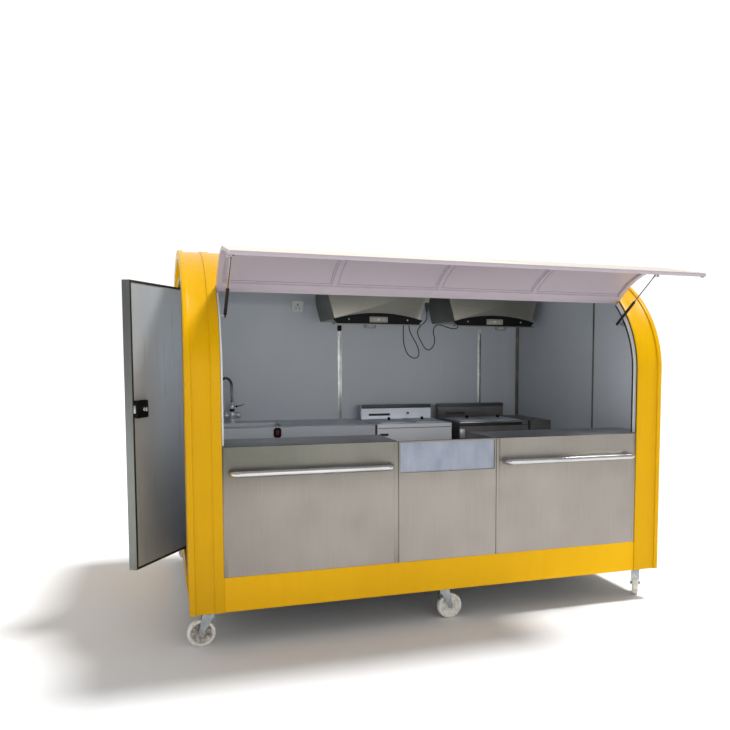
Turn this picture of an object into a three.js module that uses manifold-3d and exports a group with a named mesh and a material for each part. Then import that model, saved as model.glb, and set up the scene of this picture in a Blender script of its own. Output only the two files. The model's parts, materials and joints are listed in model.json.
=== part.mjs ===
import * as THREE from 'three';
import { mergeVertices } from 'three/addons/utils/BufferGeometryUtils.js';
import Module from 'manifold-3d';

// Food kiosk on six casters: an arched body between two yellow end bands, a serving window
// whose awning swings up on two gas struts, a service door, counters and a small kitchen.
// Millimetres. X runs right along the serving front, Y runs to the back, Z runs up from the ground.

const wasm = await Module();
wasm.setup();

// Service door, whose top stands a fixed height over the foot of the roof's curve
const DOOR_BOTTOM = 345;
const DOOR_HEIGHT = 1645;
const DOOR_OVER_SPRING = 508;
const SPRING_HEIGHT = DOOR_BOTTOM + DOOR_HEIGHT - DOOR_OVER_SPRING;

// Body shell
const LENGTH = 2900;
const DEPTH = 2120;
const BASE_HEIGHT = 200;
const ARCH_RISE = 741;
const REAR_LIFT = 468; // the flat rear wall stands this much higher than the front spring of the arch
const WALL = 40;
const PANEL_RECESS = 10;
const END_WALL_INSET = 5;
const FIT = 0.3;
const OVERLAP = 2;
const ARCH_STEPS = 32;
const BEND_STEPS = 4;

// End bands, with a bead at the outer edge and a raised strip beside the window
const BAND_WIDTH = 178;
const BEAD_WIDTH = 30;
const STRIP_WIDTH = 50;
const STRIP_PROUD = 6;

// Serving front
const SKIRT_TOP = 387;
const COUNTER_HEIGHT = 1087;
const SIDE_FASCIA_WIDTH = 968;
const FASCIA_THICKNESS = 20;
const SEAM = 2;
const WORKTOP_THICKNESS = 25;
const WORKTOP_BACK = 430;
const GABLE_THICKNESS = 20;
const RAIL = { drop: 138, stand: 62, bend: 30, radius: 18.5, inset: 52 };
const GLASS_BAND_HEIGHT = 172;
const GLASS_FRAME = 10;
const GLASS_THICKNESS = 6;

// Chassis and floor
const CHASSIS_TUBE = 60;
const CHASSIS_LIFT = 5;
const FLOOR_THICKNESS = 20;

// Casters
const WHEEL_RADIUS = 75;
const WHEEL_WIDTH = 40;
const WHEEL_SIDES = 20;
const AXLE_RADIUS = 6;
const CASTER_TRAIL = 40;
const CASTER_EDGE = 101;
const CASTER_PLATE = 100;
const CASTER_PLATE_THICKNESS = 6;
const KINGPIN_RADIUS = 26;
const KINGPIN_HEIGHT = 10;
const FORK_PLATE = 5;
const FORK_CROWN = 8;

// Awning, struts and roof edge
const HINGE_ANGLE = THREE.MathUtils.degToRad(39.4);
const AWNING_OPEN = THREE.MathUtils.degToRad(79.8);
const AWNING_SIDE_GAP = 3;
const AWNING_SILL_GAP = 4;
const AWNING_SKIN = 4;
const AWNING_LINER = 4;
const AWNING_DEPTH = 20;
const AWNING_FRAME_WIDTH = 29;
const AWNING_RIB_DEPTH = 15;
const AWNING_BAYS = 4;
const HINGE_RAIL_RADIUS = 6;
const HINGE_GAP = 1.5;
const STRUT_FOOT = { inward: 81, angle: THREE.MathUtils.degToRad(27.3) };
const STRUT_HEAD = { inward: 53, angle: THREE.MathUtils.degToRad(2) };
const STRUT_INBOARD = 43;
const STRUT_TUBE_RADIUS = 9;
const STRUT_ROD_RADIUS = 4;
const STRUT_TUBE_LENGTH = 235;
const STRUT_EYE_RADIUS = 10;
const STRUT_EYE_WIDTH = 8;
const STUD_RADIUS = 5;

// Service door in the left end wall
const DOOR_FRONT = 437;
const DOOR_WIDTH = 579.5;
const DOOR_THICKNESS = 48;
const DOOR_GAP = 8;
const DOOR_OPEN = THREE.MathUtils.degToRad(31.2);
const DOOR_FACE = -2;
const DOOR_PIN_OUT = 3;
const DOOR_PIN_RADIUS = 7;
const DOOR_LEAF = 4;
const DOOR_LEAF_WIDTH = 38;
const LOCK_HEIGHT = 1215;
const LOCK_SIZE = { x: 25, y: 112, z: 100 };
const LOCK_KNOB_RADIUS = 13;

// Kitchen along the back wall
const KITCHEN_FRONT = 1430;
const KITCHEN_HEIGHT = 1062;
const SHEET = 12;
const APRON_HEIGHT = 80;
const TABLE_LEG = 38;
const SHELF_HEIGHT = 450;
const SINK = { fromWall: 255, fromFront: 100, width: 420, depth: 330, drop: 170 };
const FAUCET = { alongSink: 100, behindSink: 90, radius: 20, height: 138, flange: 30, flangeHeight: 8 };
const VALVE = { radius: 14, half: 62, lift: 54 };
const SPOUT_RADIUS = 9;
const SPOUT_RISE = 140;
const SPOUT_BEND = 62;
const SPOUT_DROP = 70;
const SPOUT_BEND_STEPS = 8;
const SPOUT_TURN = THREE.MathUtils.degToRad(-50);
const LEVER = { hub: 8, length: 60, rise: 14, stub: 4 };
const SWITCH = { alongSink: 367, width: 40, height: 52, housing: 6, tilt: 3 };
const END_TABLE_WIDTH = 183.7;
const FRYER_WIDTH = 592;
const FRYER_DEPTH = 560;
const FRYER_SPACE = 65;
const TABLE_SPACE = 17;
const FRYER_FLUE_HEIGHT = 115;
const FRYER_FLUE_DEPTH = 60;
const FRYER_FOOT = 60;
const TANK = { width: 225, depth: 380, drop: 200, fromFront: 60 };
const LID_THICKNESS = 8;
const LID_LAP = 12;
const LID_KNOB_RADIUS = 13;
const KNOB_RADIUS = 20;
const KNOB_DEPTH = 24;
const KNOB_DROP = 170;

// Side-draught hoods on the back wall
const HOODS_FROM_RIGHT = [1462, 514];
const HOOD_FRONT = 1520;
const HOOD_OVER_SPRING = 363;
const HOOD_HEIGHT = 225;
const HOOD_HALF_BOTTOM = 330;
const HOOD_HALF_TOP = 392;
const HOOD_RIM = 40;
const HOOD_SKIN = 14;
const HOOD_HOLLOW_DEPTH = 240;
const HOOD_CONTROL = { half: 346, rise: 50, drop: 32, thickness: 12 };
const HOOD_SWITCH = { half: 60, height: 30, proud: 4, seat: 3, travel: 3 };
const SOCKET = { width: 30, depth: 34, height: 30 };

// Cables that hang from the hoods. Each place is [across from the hood's middle, below its underside].
const CABLE_RADIUS = 4;
const CABLE_SIDES = 8;
const CABLE_STEP = 20;
const LOOP_CABLE = [
  [204, 0], [204, 42], [203, 103], [206, 164], [214, 203], [230, 243], [256, 273], [284, 286],
  [310, 284], [326, 265], [327, 233], [315, 194], [289, 145], [263, 101], [250, 60], [249, 30], [249, 0],
];
const PLUG_CABLE_START = [[-296, 0], [-296, 30], [-308, 52]];
const PLUG_CABLE_REST = [
  [607, 56], [557, 45], [507, 30], [470, 33], [449, 59], [446, 93], [455, 126], [455, 165],
  [439, 202], [408, 224], [377, 209], [352, 170], [325, 120], [318, 80], [337, 45], [372, 13],
  [391, -17], [392, -60],
];
const PLUG = { radius: 13, length: 78 };

const YELLOW = { color: 0xe0a810, roughness: 0.35, metalness: 0.1 };
const STAINLESS = { color: 0xa8a29a, roughness: 0.38, metalness: 0.9 };
const LINER_GREY = { color: 0xa79ca6, roughness: 0.6, metalness: 0.1 };
const PANEL_GREY = { color: 0x7b8084, roughness: 0.55, metalness: 0.1 };
const STEEL_GREY = { color: 0x6d7072, roughness: 0.5, metalness: 0.7 };
const BLACK = { color: 0x1c1d1f, roughness: 0.45, metalness: 0.1 };
const TYRE_IVORY = { color: 0xb8b8ac, roughness: 0.6, metalness: 0.0 };
const GLASS_BLUE = { color: 0x93a0b8, roughness: 0.1, metalness: 0.0 };
const RED = { color: 0xa51d1d, roughness: 0.4, metalness: 0.0 };

const HALF_DEPTH = DEPTH / 2;
const PANEL_INNER = PANEL_RECESS + WALL;
const INNER_LEFT = END_WALL_INSET + WALL;
const FLOOR_TOP = BASE_HEIGHT + CHASSIS_LIFT + CHASSIS_TUBE + FLOOR_THICKNESS;
const WINDOW_LEFT = BAND_WIDTH;
const WINDOW_RIGHT = LENGTH - BAND_WIDTH;
const CENTRE_LEFT = WINDOW_LEFT + SIDE_FASCIA_WIDTH;
const CENTRE_RIGHT = WINDOW_RIGHT - SIDE_FASCIA_WIDTH;

const SINK_LEFT = INNER_LEFT + SINK.fromWall;
const SINK_FRONT = KITCHEN_FRONT + SINK.fromFront;
const FAUCET_X = SINK_LEFT + FAUCET.alongSink;
const FAUCET_Y = SINK_FRONT + SINK.depth + FAUCET.behindSink;
const SWITCH_X = SINK_LEFT + SWITCH.alongSink;
const SWITCH_Z = KITCHEN_HEIGHT - APRON_HEIGHT / 2;
const FRYER_PITCH = FRYER_WIDTH + FRYER_SPACE;
const END_TABLE_START = LENGTH - INNER_LEFT - FIT - END_TABLE_WIDTH;
const FRYER_START = END_TABLE_START - TABLE_SPACE - FRYER_WIDTH - FRYER_PITCH;
const HOOD_CENTRES = HOODS_FROM_RIGHT.map((distance) => LENGTH - distance);
const HOOD_BOTTOM = SPRING_HEIGHT + HOOD_OVER_SPRING;
const HOOD_TOP = HOOD_BOTTOM + HOOD_HEIGHT;
const CABLE_PLANE = HOOD_FRONT + HOOD_RIM / 2;
const WALL_BACK = DEPTH - PANEL_INNER - FIT;

const kiosk = new THREE.Group();

// Keeps only positions, welds shared corners and turns every face outward
function closed(geometry) {
  const plain = new THREE.BufferGeometry();
  plain.setAttribute('position', geometry.getAttribute('position').clone());
  if (geometry.index) plain.setIndex(geometry.index.clone());
  const welded = mergeVertices(plain, 1e-3);
  const place = welded.getAttribute('position');
  const kept = [];
  let volume = 0;
  const [a, b, c] = [new THREE.Vector3(), new THREE.Vector3(), new THREE.Vector3()];
  for (let i = 0; i < welded.index.count; i += 3) {
    const face = [0, 1, 2].map((corner) => welded.index.getX(i + corner));
    if (new Set(face).size < face.length) continue;
    kept.push(face);
    a.fromBufferAttribute(place, face[0]);
    b.fromBufferAttribute(place, face[1]);
    c.fromBufferAttribute(place, face[2]);
    volume += a.dot(b.cross(c));
  }
  welded.setIndex(kept.flatMap((face) => (volume < 0 ? [face[0], face[2], face[1]] : face)));
  return welded;
}

function toSolid(geometry) {
  const mesh = closed(geometry);
  return new wasm.Manifold(new wasm.Mesh({
    numProp: 3,
    vertProperties: new Float32Array(mesh.getAttribute('position').array),
    triVerts: new Uint32Array(mesh.index.array),
  }));
}

function toGeometry(solid) {
  const mesh = solid.getMesh();
  const geometry = new THREE.BufferGeometry();
  geometry.setAttribute('position', new THREE.BufferAttribute(mesh.vertProperties, 3));
  geometry.setIndex(new THREE.BufferAttribute(mesh.triVerts, 1));
  return geometry;
}

// Joins the first list of geometries and cuts the second list from them
function joinAndCut(joined, cuts = []) {
  let solid = toSolid(joined[0]);
  for (const piece of joined.slice(1)) solid = solid.add(toSolid(piece));
  for (const piece of cuts) solid = solid.subtract(toSolid(piece));
  return toGeometry(solid);
}

function addMesh(parent, name, geometry, look) {
  const mesh = new THREE.Mesh(closed(geometry), new THREE.MeshStandardMaterial(look));
  mesh.name = name;
  parent.add(mesh);
  return mesh;
}

// Puts the two ends of a shape along one axis (0 for X, 1 for Y, 2 for Z) at exact places
function fitBetween(geometry, axis, from, to) {
  const place = geometry.getAttribute('position');
  geometry.computeBoundingBox();
  const middle = geometry.boundingBox.getCenter(new THREE.Vector3()).getComponent(axis);
  for (let i = 0; i < place.count; i += 1) {
    place.setComponent(i, axis, place.getComponent(i, axis) < middle ? from : to);
  }
  return geometry;
}

function box(from, to) {
  const geometry = new THREE.BoxGeometry();
  [0, 1, 2].forEach((axis) => fitBetween(geometry, axis, from[axis], to[axis]));
  return geometry;
}

// An outline given as [y, z] places, drawn out along X
function alongX(outline, from, to, hole) {
  const shape = new THREE.Shape(outline.map(([y, z]) => new THREE.Vector2(y, z)));
  if (hole) shape.holes.push(new THREE.Path(hole.map(([y, z]) => new THREE.Vector2(y, z))));
  const geometry = new THREE.ExtrudeGeometry(shape, { depth: to - from, bevelEnabled: false });
  const turn = new THREE.Matrix4().makeBasis(
    new THREE.Vector3(0, 1, 0), new THREE.Vector3(0, 0, 1), new THREE.Vector3(1, 0, 0));
  return fitBetween(geometry.applyMatrix4(turn), 0, from, to);
}

// An outline given as [x, z] places, drawn out along Y
function alongY(outline, from, to, hole) {
  const shape = new THREE.Shape(outline.map(([x, z]) => new THREE.Vector2(x, z)));
  if (hole) shape.holes.push(new THREE.Path(hole.map(([x, z]) => new THREE.Vector2(x, z))));
  const geometry = new THREE.ExtrudeGeometry(shape, { depth: to - from, bevelEnabled: false });
  return fitBetween(geometry.rotateX(Math.PI / 2), 1, from, to);
}

function rectangle(left, bottom, right, top) {
  return [[left, bottom], [right, bottom], [right, top], [left, top]];
}

// A cylinder between two heights on the Z axis
function upright(radius, from, to, sides) {
  const geometry = new THREE.CylinderGeometry(radius, radius, to - from, sides);
  return fitBetween(geometry.rotateX(Math.PI / 2), 2, from, to);
}

// A cylinder along X from one side to the other, centred on a place in the YZ plane
function crosswise(radius, from, to, y, z, sides) {
  const geometry = new THREE.CylinderGeometry(radius, radius, to - from, sides);
  return fitBetween(geometry.rotateZ(Math.PI / 2).translate(0, y, z), 0, from, to);
}

// A route whose steps land exactly on the given places
class Route extends THREE.Curve {
  constructor(places) {
    super();
    this.places = places;
  }

  getPoint(t, target = new THREE.Vector3()) {
    const last = this.places.length - 1;
    const index = Math.min(Math.floor(t * last + 1e-9), last - 1);
    return target.lerpVectors(this.places[index], this.places[index + 1], t * last - index);
  }

  getPointAt(u, target) {
    return this.getPoint(u, target);
  }

  getTangentAt(u, target = new THREE.Vector3()) {
    const last = this.places.length - 1;
    const index = Math.round(u * last);
    const before = this.places[Math.max(index - 1, 0)];
    const here = this.places[index];
    const after = this.places[Math.min(index + 1, last)];
    const into = here.clone().sub(before).normalize();
    const away = after.clone().sub(here).normalize();
    return target.copy(into.add(away)).normalize();
  }
}

function ring(radius, sides) {
  const outline = [];
  for (let i = 0; i < sides; i += 1) {
    const turn = (2 * Math.PI * i) / sides;
    outline.push(new THREE.Vector2(radius * Math.cos(turn), radius * Math.sin(turn)));
  }
  return new THREE.Shape(outline);
}

function tube(places, radius, sides) {
  const path = new Route(places);
  return new THREE.ExtrudeGeometry(ring(radius, sides), {
    steps: places.length - 1, bevelEnabled: false, extrudePath: path,
  });
}

// Places round a quarter bend, from one direction to another
function bend(corner, from, to, radius) {
  const places = [];
  for (let i = 0; i <= BEND_STEPS; i += 1) {
    const turn = (Math.PI / 2) * (i / BEND_STEPS);
    const place = corner.clone();
    place.addScaledVector(from, -radius * (1 - Math.sin(turn)));
    place.addScaledVector(to, radius * (1 - Math.cos(turn)));
    places.push(place);
  }
  return places;
}

// A place on the kiosk's side outline, some distance inside the bead, at an angle over the arch
function archPlace(offset, angle) {
  const lift = angle > Math.PI / 2 ? REAR_LIFT : 0;
  const y = HALF_DEPTH - (HALF_DEPTH - offset) * Math.cos(angle);
  const z = SPRING_HEIGHT + lift + (ARCH_RISE - lift - offset) * Math.sin(angle);
  return [y, z];
}

// Places from one angle to another that turn at the same even steps on every arched piece
function archPlaces(offset, from, to) {
  const step = Math.PI / ARCH_STEPS;
  const [low, high] = [Math.min(from, to), Math.max(from, to)];
  const angles = [low];
  for (let i = 0; i <= ARCH_STEPS; i += 1) {
    if (i * step - low > step / 10 && high - i * step > step / 10) angles.push(i * step);
  }
  angles.push(high);
  if (from > to) angles.reverse();
  return angles.map((angle) => archPlace(offset, angle));
}

// The arch with both its legs, between two offsets, open at the foot
function archStrip(outer, inner) {
  const outside = archPlaces(outer, 0, Math.PI);
  const inside = archPlaces(inner, Math.PI, 0);
  return [
    [outer, BASE_HEIGHT], ...outside, [DEPTH - outer, BASE_HEIGHT],
    [DEPTH - inner, BASE_HEIGHT], ...inside, [inner, BASE_HEIGHT],
  ];
}

function buildBands() {
  const bands = [['left_arch', 0, 1], ['right_arch', LENGTH, -1]];
  for (const [name, edge, inward] of bands) {
    const span = (near, far) => [edge + inward * near, edge + inward * far].sort((a, b) => a - b);
    const reach = STRUT_INBOARD - STRUT_EYE_WIDTH - FIT;
    const [footY, footZ] = archPlace(STRUT_FOOT.inward, STRUT_FOOT.angle);
    const plateHalf = STUD_RADIUS * 3;
    const band = joinAndCut([
      alongX(archStrip(PANEL_RECESS, PANEL_INNER), ...span(0, BAND_WIDTH)),
      alongX(archStrip(0, PANEL_RECESS + OVERLAP), ...span(0, BEAD_WIDTH)),
      alongX(archStrip(PANEL_RECESS - STRIP_PROUD, PANEL_RECESS + OVERLAP),
        ...span(BAND_WIDTH - STRIP_WIDTH, BAND_WIDTH)),
      alongX(rectangle(footY - plateHalf * 5, footZ - plateHalf, footY + plateHalf, footZ + plateHalf),
        ...span(BAND_WIDTH - 2 * STUD_RADIUS, BAND_WIDTH)),
      crosswise(STUD_RADIUS, ...span(BAND_WIDTH - OVERLAP, BAND_WIDTH + reach), footY, footZ, 12),
    ]);
    addMesh(kiosk, name, band, YELLOW);
  }
}

function hingePlace() {
  return archPlace(PANEL_RECESS - STRIP_PROUD / 2, HINGE_ANGLE);
}

function arcAngle(length) {
  const along = HALF_DEPTH * Math.sin(HINGE_ANGLE);
  const up = ARCH_RISE * Math.cos(HINGE_ANGLE);
  return length / Math.hypot(along, up);
}

function buildRoofAndRear() {
  const start = HINGE_ANGLE + arcAngle(HINGE_RAIL_RADIUS / 2);
  const outside = archPlaces(PANEL_RECESS, start, Math.PI);
  const inside = archPlaces(PANEL_INNER, Math.PI, start);
  const [hingeY, hingeZ] = hingePlace();
  const railEnd = AWNING_SIDE_GAP;
  const roof = joinAndCut([
    alongX([...outside, ...inside], WINDOW_LEFT, WINDOW_RIGHT),
    crosswise(HINGE_RAIL_RADIUS, WINDOW_LEFT + railEnd, WINDOW_RIGHT - railEnd, hingeY, hingeZ, 12),
  ]);
  addMesh(kiosk, 'roof_shell', roof, YELLOW);
  const rear = box([WINDOW_LEFT, DEPTH - PANEL_INNER, BASE_HEIGHT],
    [WINDOW_RIGHT, DEPTH - PANEL_RECESS, SPRING_HEIGHT + REAR_LIFT]);
  addMesh(kiosk, 'rear_wall', rear, YELLOW);
}

function endWallOutline() {
  const offset = PANEL_INNER + FIT;
  return [
    [offset, BASE_HEIGHT], ...archPlaces(offset, 0, Math.PI), [DEPTH - offset, BASE_HEIGHT],
  ];
}

function buildEndWalls() {
  const opening = rectangle(DOOR_FRONT - DOOR_GAP, DOOR_BOTTOM - DOOR_GAP,
    DOOR_FRONT + DOOR_WIDTH + DOOR_GAP, DOOR_BOTTOM + DOOR_HEIGHT + DOOR_GAP);
  const left = alongX(endWallOutline(), END_WALL_INSET, INNER_LEFT, opening);
  addMesh(kiosk, 'left_end_wall', left, PANEL_GREY);
  const right = alongX(endWallOutline(), LENGTH - INNER_LEFT, LENGTH - END_WALL_INSET);
  addMesh(kiosk, 'right_end_wall', right, PANEL_GREY);
}

function casterPlaces() {
  const stations = [CASTER_EDGE, LENGTH / 2, LENGTH - CASTER_EDGE];
  return [CASTER_EDGE, DEPTH - CASTER_EDGE].flatMap((y) => stations.map((x) => [x, y]));
}

const CHASSIS_BOTTOM = BASE_HEIGHT + CHASSIS_LIFT;
const KINGPIN_BOTTOM = CHASSIS_BOTTOM - CASTER_PLATE_THICKNESS - KINGPIN_HEIGHT;

function buildChassis() {
  const [left, right] = [INNER_LEFT + FIT, LENGTH - INNER_LEFT - FIT];
  const [front, back] = [PANEL_INNER + FIT, DEPTH - PANEL_INNER - FIT];
  const top = CHASSIS_BOTTOM + CHASSIS_TUBE;
  const pieces = [
    box([left, front, CHASSIS_BOTTOM], [right, front + CHASSIS_TUBE, top]),
    box([left, back - CHASSIS_TUBE, CHASSIS_BOTTOM], [right, back, top]),
  ];
  for (const x of [left, (LENGTH - CHASSIS_TUBE) / 2, right - CHASSIS_TUBE]) {
    pieces.push(box([x, front, CHASSIS_BOTTOM], [x + CHASSIS_TUBE, back, top]));
  }
  const half = CASTER_PLATE / 2;
  for (const [x, y] of casterPlaces()) {
    const plateBottom = CHASSIS_BOTTOM - CASTER_PLATE_THICKNESS;
    pieces.push(box([x - half, y - half, plateBottom], [x + half, y + half, CHASSIS_BOTTOM + FIT]));
    pieces.push(upright(KINGPIN_RADIUS, KINGPIN_BOTTOM, plateBottom + FIT, 16).translate(x, y, 0));
  }
  addMesh(kiosk, 'chassis_frame', joinAndCut(pieces), STEEL_GREY);
  const floor = box([left, front, top], [right, back, top + FLOOR_THICKNESS]);
  addMesh(kiosk, 'floor_plate', floor, STEEL_GREY);
}

function forkGeometry() {
  const top = KINGPIN_BOTTOM - FIT;
  const inner = WHEEL_WIDTH / 2 + OVERLAP;
  const outer = inner + FORK_PLATE;
  const crownRadius = KINGPIN_RADIUS + OVERLAP;
  const cheek = AXLE_RADIUS * 2;
  const leg = [
    [-crownRadius, top], [crownRadius, top], [crownRadius + cheek, top - cheek],
    [CASTER_TRAIL + cheek, WHEEL_RADIUS], [CASTER_TRAIL, WHEEL_RADIUS - cheek],
    [CASTER_TRAIL - cheek, WHEEL_RADIUS], [-crownRadius, top - 2 * cheek],
  ];
  const axle = new THREE.CylinderGeometry(AXLE_RADIUS, AXLE_RADIUS, 2 * outer + FORK_PLATE, 12);
  return joinAndCut([
    box([-crownRadius, -outer, top - FORK_CROWN], [crownRadius, outer, top]),
    alongY(leg, -outer, -inner),
    alongY(leg, inner, outer),
    axle.translate(CASTER_TRAIL, 0, WHEEL_RADIUS),
  ]);
}

function wheelGeometry() {
  const half = WHEEL_WIDTH / 2;
  const flat = 1 / Math.cos(Math.PI / WHEEL_SIDES);
  const bore = AXLE_RADIUS + FIT;
  const shares = [
    [0.35, 1], [0.72, 0.6], [0.82, 0.95], [1, 0.62],
  ];
  const side = shares.map(([r, w]) => [WHEEL_RADIUS * flat * r, half * w]);
  const outline = [
    [bore * flat, half], ...side, ...side.map(([r, w]) => [r, -w]).reverse(), [bore * flat, -half],
  ];
  outline.push(outline[0]);
  const points = outline.map(([r, w]) => new THREE.Vector2(r, w));
  return new THREE.LatheGeometry(points, WHEEL_SIDES, Math.PI / WHEEL_SIDES);
}

function buildCasters() {
  const names = ['front_left', 'front_middle', 'front_right', 'rear_left', 'rear_middle', 'rear_right'];
  const turns = [180, 0, 56, 160, 20, -30];
  casterPlaces().forEach(([x, y], i) => {
    const swivel = new THREE.Group();
    swivel.position.set(x, y, 0);
    swivel.rotation.z = THREE.MathUtils.degToRad(turns[i]);
    kiosk.add(swivel);
    addMesh(swivel, `caster_fork_${names[i]}`, forkGeometry(), STAINLESS);
    const wheel = addMesh(swivel, `caster_wheel_${names[i]}`, wheelGeometry(), TYRE_IVORY);
    wheel.position.set(CASTER_TRAIL, 0, WHEEL_RADIUS);
  });
}

function railPlaces(from, to) {
  const wall = new THREE.Vector3(0, PANEL_RECESS, COUNTER_HEIGHT - RAIL.drop);
  const out = new THREE.Vector3(0, -1, 0);
  const across = new THREE.Vector3(1, 0, 0);
  const start = wall.clone().setX(from);
  const end = wall.clone().setX(to);
  const near = start.clone().addScaledVector(out, RAIL.stand);
  const far = end.clone().addScaledVector(out, RAIL.stand);
  return [
    start, ...bend(near, out, across, RAIL.bend), ...bend(far, across, out.clone().negate(), RAIL.bend), end,
  ];
}

function buildServingFront() {
  const back = PANEL_RECESS + FASCIA_THICKNESS;
  const skirt = box([WINDOW_LEFT, PANEL_RECESS, BASE_HEIGHT], [WINDOW_RIGHT, PANEL_INNER, SKIRT_TOP]);
  addMesh(kiosk, 'front_skirt', skirt, YELLOW);
  const sides = [
    ['left', WINDOW_LEFT, CENTRE_LEFT, INNER_LEFT + FIT, CENTRE_LEFT],
    ['right', CENTRE_RIGHT, WINDOW_RIGHT, CENTRE_RIGHT, LENGTH - INNER_LEFT - FIT],
  ];
  for (const [side, from, to, topFrom, topTo] of sides) {
    const fascia = box([from, PANEL_RECESS, SKIRT_TOP], [to, back, COUNTER_HEIGHT]);
    addMesh(kiosk, `${side}_fascia`, fascia, STAINLESS);
    const under = COUNTER_HEIGHT - WORKTOP_THICKNESS;
    const gable = side === 'left' ? to - GABLE_THICKNESS : from;
    const worktop = joinAndCut([
      box([from, back, under], [to, PANEL_INNER + FIT + OVERLAP, COUNTER_HEIGHT]),
      box([topFrom, PANEL_INNER + FIT, under], [topTo, WORKTOP_BACK, COUNTER_HEIGHT]),
      box([gable, PANEL_INNER + FIT, FLOOR_TOP], [gable + GABLE_THICKNESS, WORKTOP_BACK, under + OVERLAP]),
    ]);
    addMesh(kiosk, `${side}_worktop`, worktop, STAINLESS);
    const rail = tube(railPlaces(from + RAIL.inset, to - RAIL.inset), RAIL.radius, 12);
    addMesh(kiosk, `${side}_rail`, rail, STAINLESS);
  }
  const [left, right] = [CENTRE_LEFT + SEAM, CENTRE_RIGHT - SEAM];
  const glassBottom = COUNTER_HEIGHT - GLASS_FRAME - GLASS_BAND_HEIGHT;
  const hole = rectangle(left + GLASS_FRAME, glassBottom, right - GLASS_FRAME, COUNTER_HEIGHT - GLASS_FRAME);
  const centre = alongY(rectangle(left, SKIRT_TOP, right, COUNTER_HEIGHT), PANEL_RECESS, back, hole);
  addMesh(kiosk, 'centre_fascia', centre, STAINLESS);
  const middle = PANEL_RECESS + FASCIA_THICKNESS / 2;
  const glass = box([left + GLASS_FRAME + FIT, middle - GLASS_THICKNESS / 2, glassBottom + FIT],
    [right - GLASS_FRAME - FIT, middle + GLASS_THICKNESS / 2, COUNTER_HEIGHT - GLASS_FRAME - FIT]);
  addMesh(kiosk, 'counter_glass', glass, GLASS_BLUE);
}

const AWNING_FACE = PANEL_RECESS - STRIP_PROUD / 2;
const AWNING_TOP = HINGE_ANGLE - arcAngle(HINGE_RAIL_RADIUS + HINGE_GAP);

// The awning's side outline while shut, between two depths behind its outer face
function awningStrip(outer, inner, top, lowest) {
  return [
    ...archPlaces(AWNING_FACE + outer, top, 0), [AWNING_FACE + outer, lowest],
    [AWNING_FACE + inner, lowest], ...archPlaces(AWNING_FACE + inner, 0, top),
  ];
}

// A grey frame round four shallow bays: a liner, a rim round it and ribs between the bays
function awningFrame(left, right, lowest) {
  const liner = AWNING_SKIN + FIT;
  const bayDepth = liner + AWNING_LINER;
  const rim = 1.5 * AWNING_FRAME_WIDTH;
  const bayTop = AWNING_TOP - arcAngle(rim);
  const tray = joinAndCut(
    [alongX(awningStrip(liner, AWNING_DEPTH, AWNING_TOP, lowest), left, right)],
    [alongX(awningStrip(bayDepth, AWNING_DEPTH + OVERLAP, bayTop, lowest + rim),
      left + AWNING_FRAME_WIDTH, right - AWNING_FRAME_WIDTH)],
  );
  const ribs = [];
  const bay = (right - left - AWNING_FRAME_WIDTH) / AWNING_BAYS;
  const half = AWNING_FRAME_WIDTH / 3;
  for (let i = 1; i < AWNING_BAYS; i += 1) {
    const at = left + AWNING_FRAME_WIDTH / 2 + bay * i;
    const outline = awningStrip(bayDepth - AWNING_LINER / 2, AWNING_RIB_DEPTH,
      bayTop + arcAngle(OVERLAP), lowest + rim - OVERLAP);
    ribs.push(alongX(outline, at - half, at + half));
  }
  return joinAndCut([tray, ...ribs, ...awningBrackets()]);
}

function buildAwning() {
  const [hingeY, hingeZ] = hingePlace();
  const group = new THREE.Group();
  group.position.set(0, hingeY, hingeZ);
  group.rotation.x = -AWNING_OPEN;
  kiosk.add(group);
  const [left, right] = [WINDOW_LEFT + AWNING_SIDE_GAP, WINDOW_RIGHT - AWNING_SIDE_GAP];
  const lowest = COUNTER_HEIGHT + AWNING_SILL_GAP;
  const skin = alongX(awningStrip(0, AWNING_SKIN, AWNING_TOP, lowest), left, right);
  addMesh(group, 'awning_skin', skin.translate(0, -hingeY, -hingeZ), YELLOW);
  const frame = awningFrame(left, right, lowest);
  addMesh(group, 'awning_frame', frame.translate(0, -hingeY, -hingeZ), LINER_GREY);
}

// The brackets under the awning's side members, whose studs end beside the strut eyes
function awningBrackets() {
  const [headY, headZ] = archPlace(STRUT_HEAD.inward, STRUT_HEAD.angle);
  const half = STUD_RADIUS * 2;
  return [[0, 1], [LENGTH, -1]].flatMap(([edge, inward]) => {
    const eyeSide = BAND_WIDTH + STRUT_INBOARD - STRUT_EYE_WIDTH / 2 - 2 * FIT;
    const memberSide = BAND_WIDTH + AWNING_SIDE_GAP + AWNING_FRAME_WIDTH;
    const span = (near, far) => [edge + inward * near, edge + inward * far].sort((a, b) => a - b);
    return [
      alongX(rectangle(PANEL_RECESS + AWNING_DEPTH / 2, headZ - half, headY + half, headZ + half),
        ...span(memberSide - half, memberSide - OVERLAP / 2)),
      crosswise(STUD_RADIUS, ...span(memberSide - half / 2, eyeSide), headY, headZ, 12),
    ];
  });
}

function turned([placeY, placeZ], [centreY, centreZ], angle) {
  const [y, z] = [placeY - centreY, placeZ - centreZ];
  const [cos, sin] = [Math.cos(angle), Math.sin(angle)];
  return [centreY + y * cos - z * sin, centreZ + y * sin + z * cos];
}

function strutTube() {
  const [outer, inner] = [STRUT_TUBE_RADIUS, STRUT_ROD_RADIUS + FIT];
  const start = STRUT_EYE_RADIUS / 2;
  const outline = [
    [0, start], [outer, start], [outer, STRUT_TUBE_LENGTH], [inner, STRUT_TUBE_LENGTH],
    [inner, start + STRUT_EYE_RADIUS], [0, start + STRUT_EYE_RADIUS],
  ];
  const points = outline.map(([r, along]) => new THREE.Vector2(r, along));
  return new THREE.LatheGeometry(points, 12).rotateX(Math.PI / 2);
}

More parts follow.
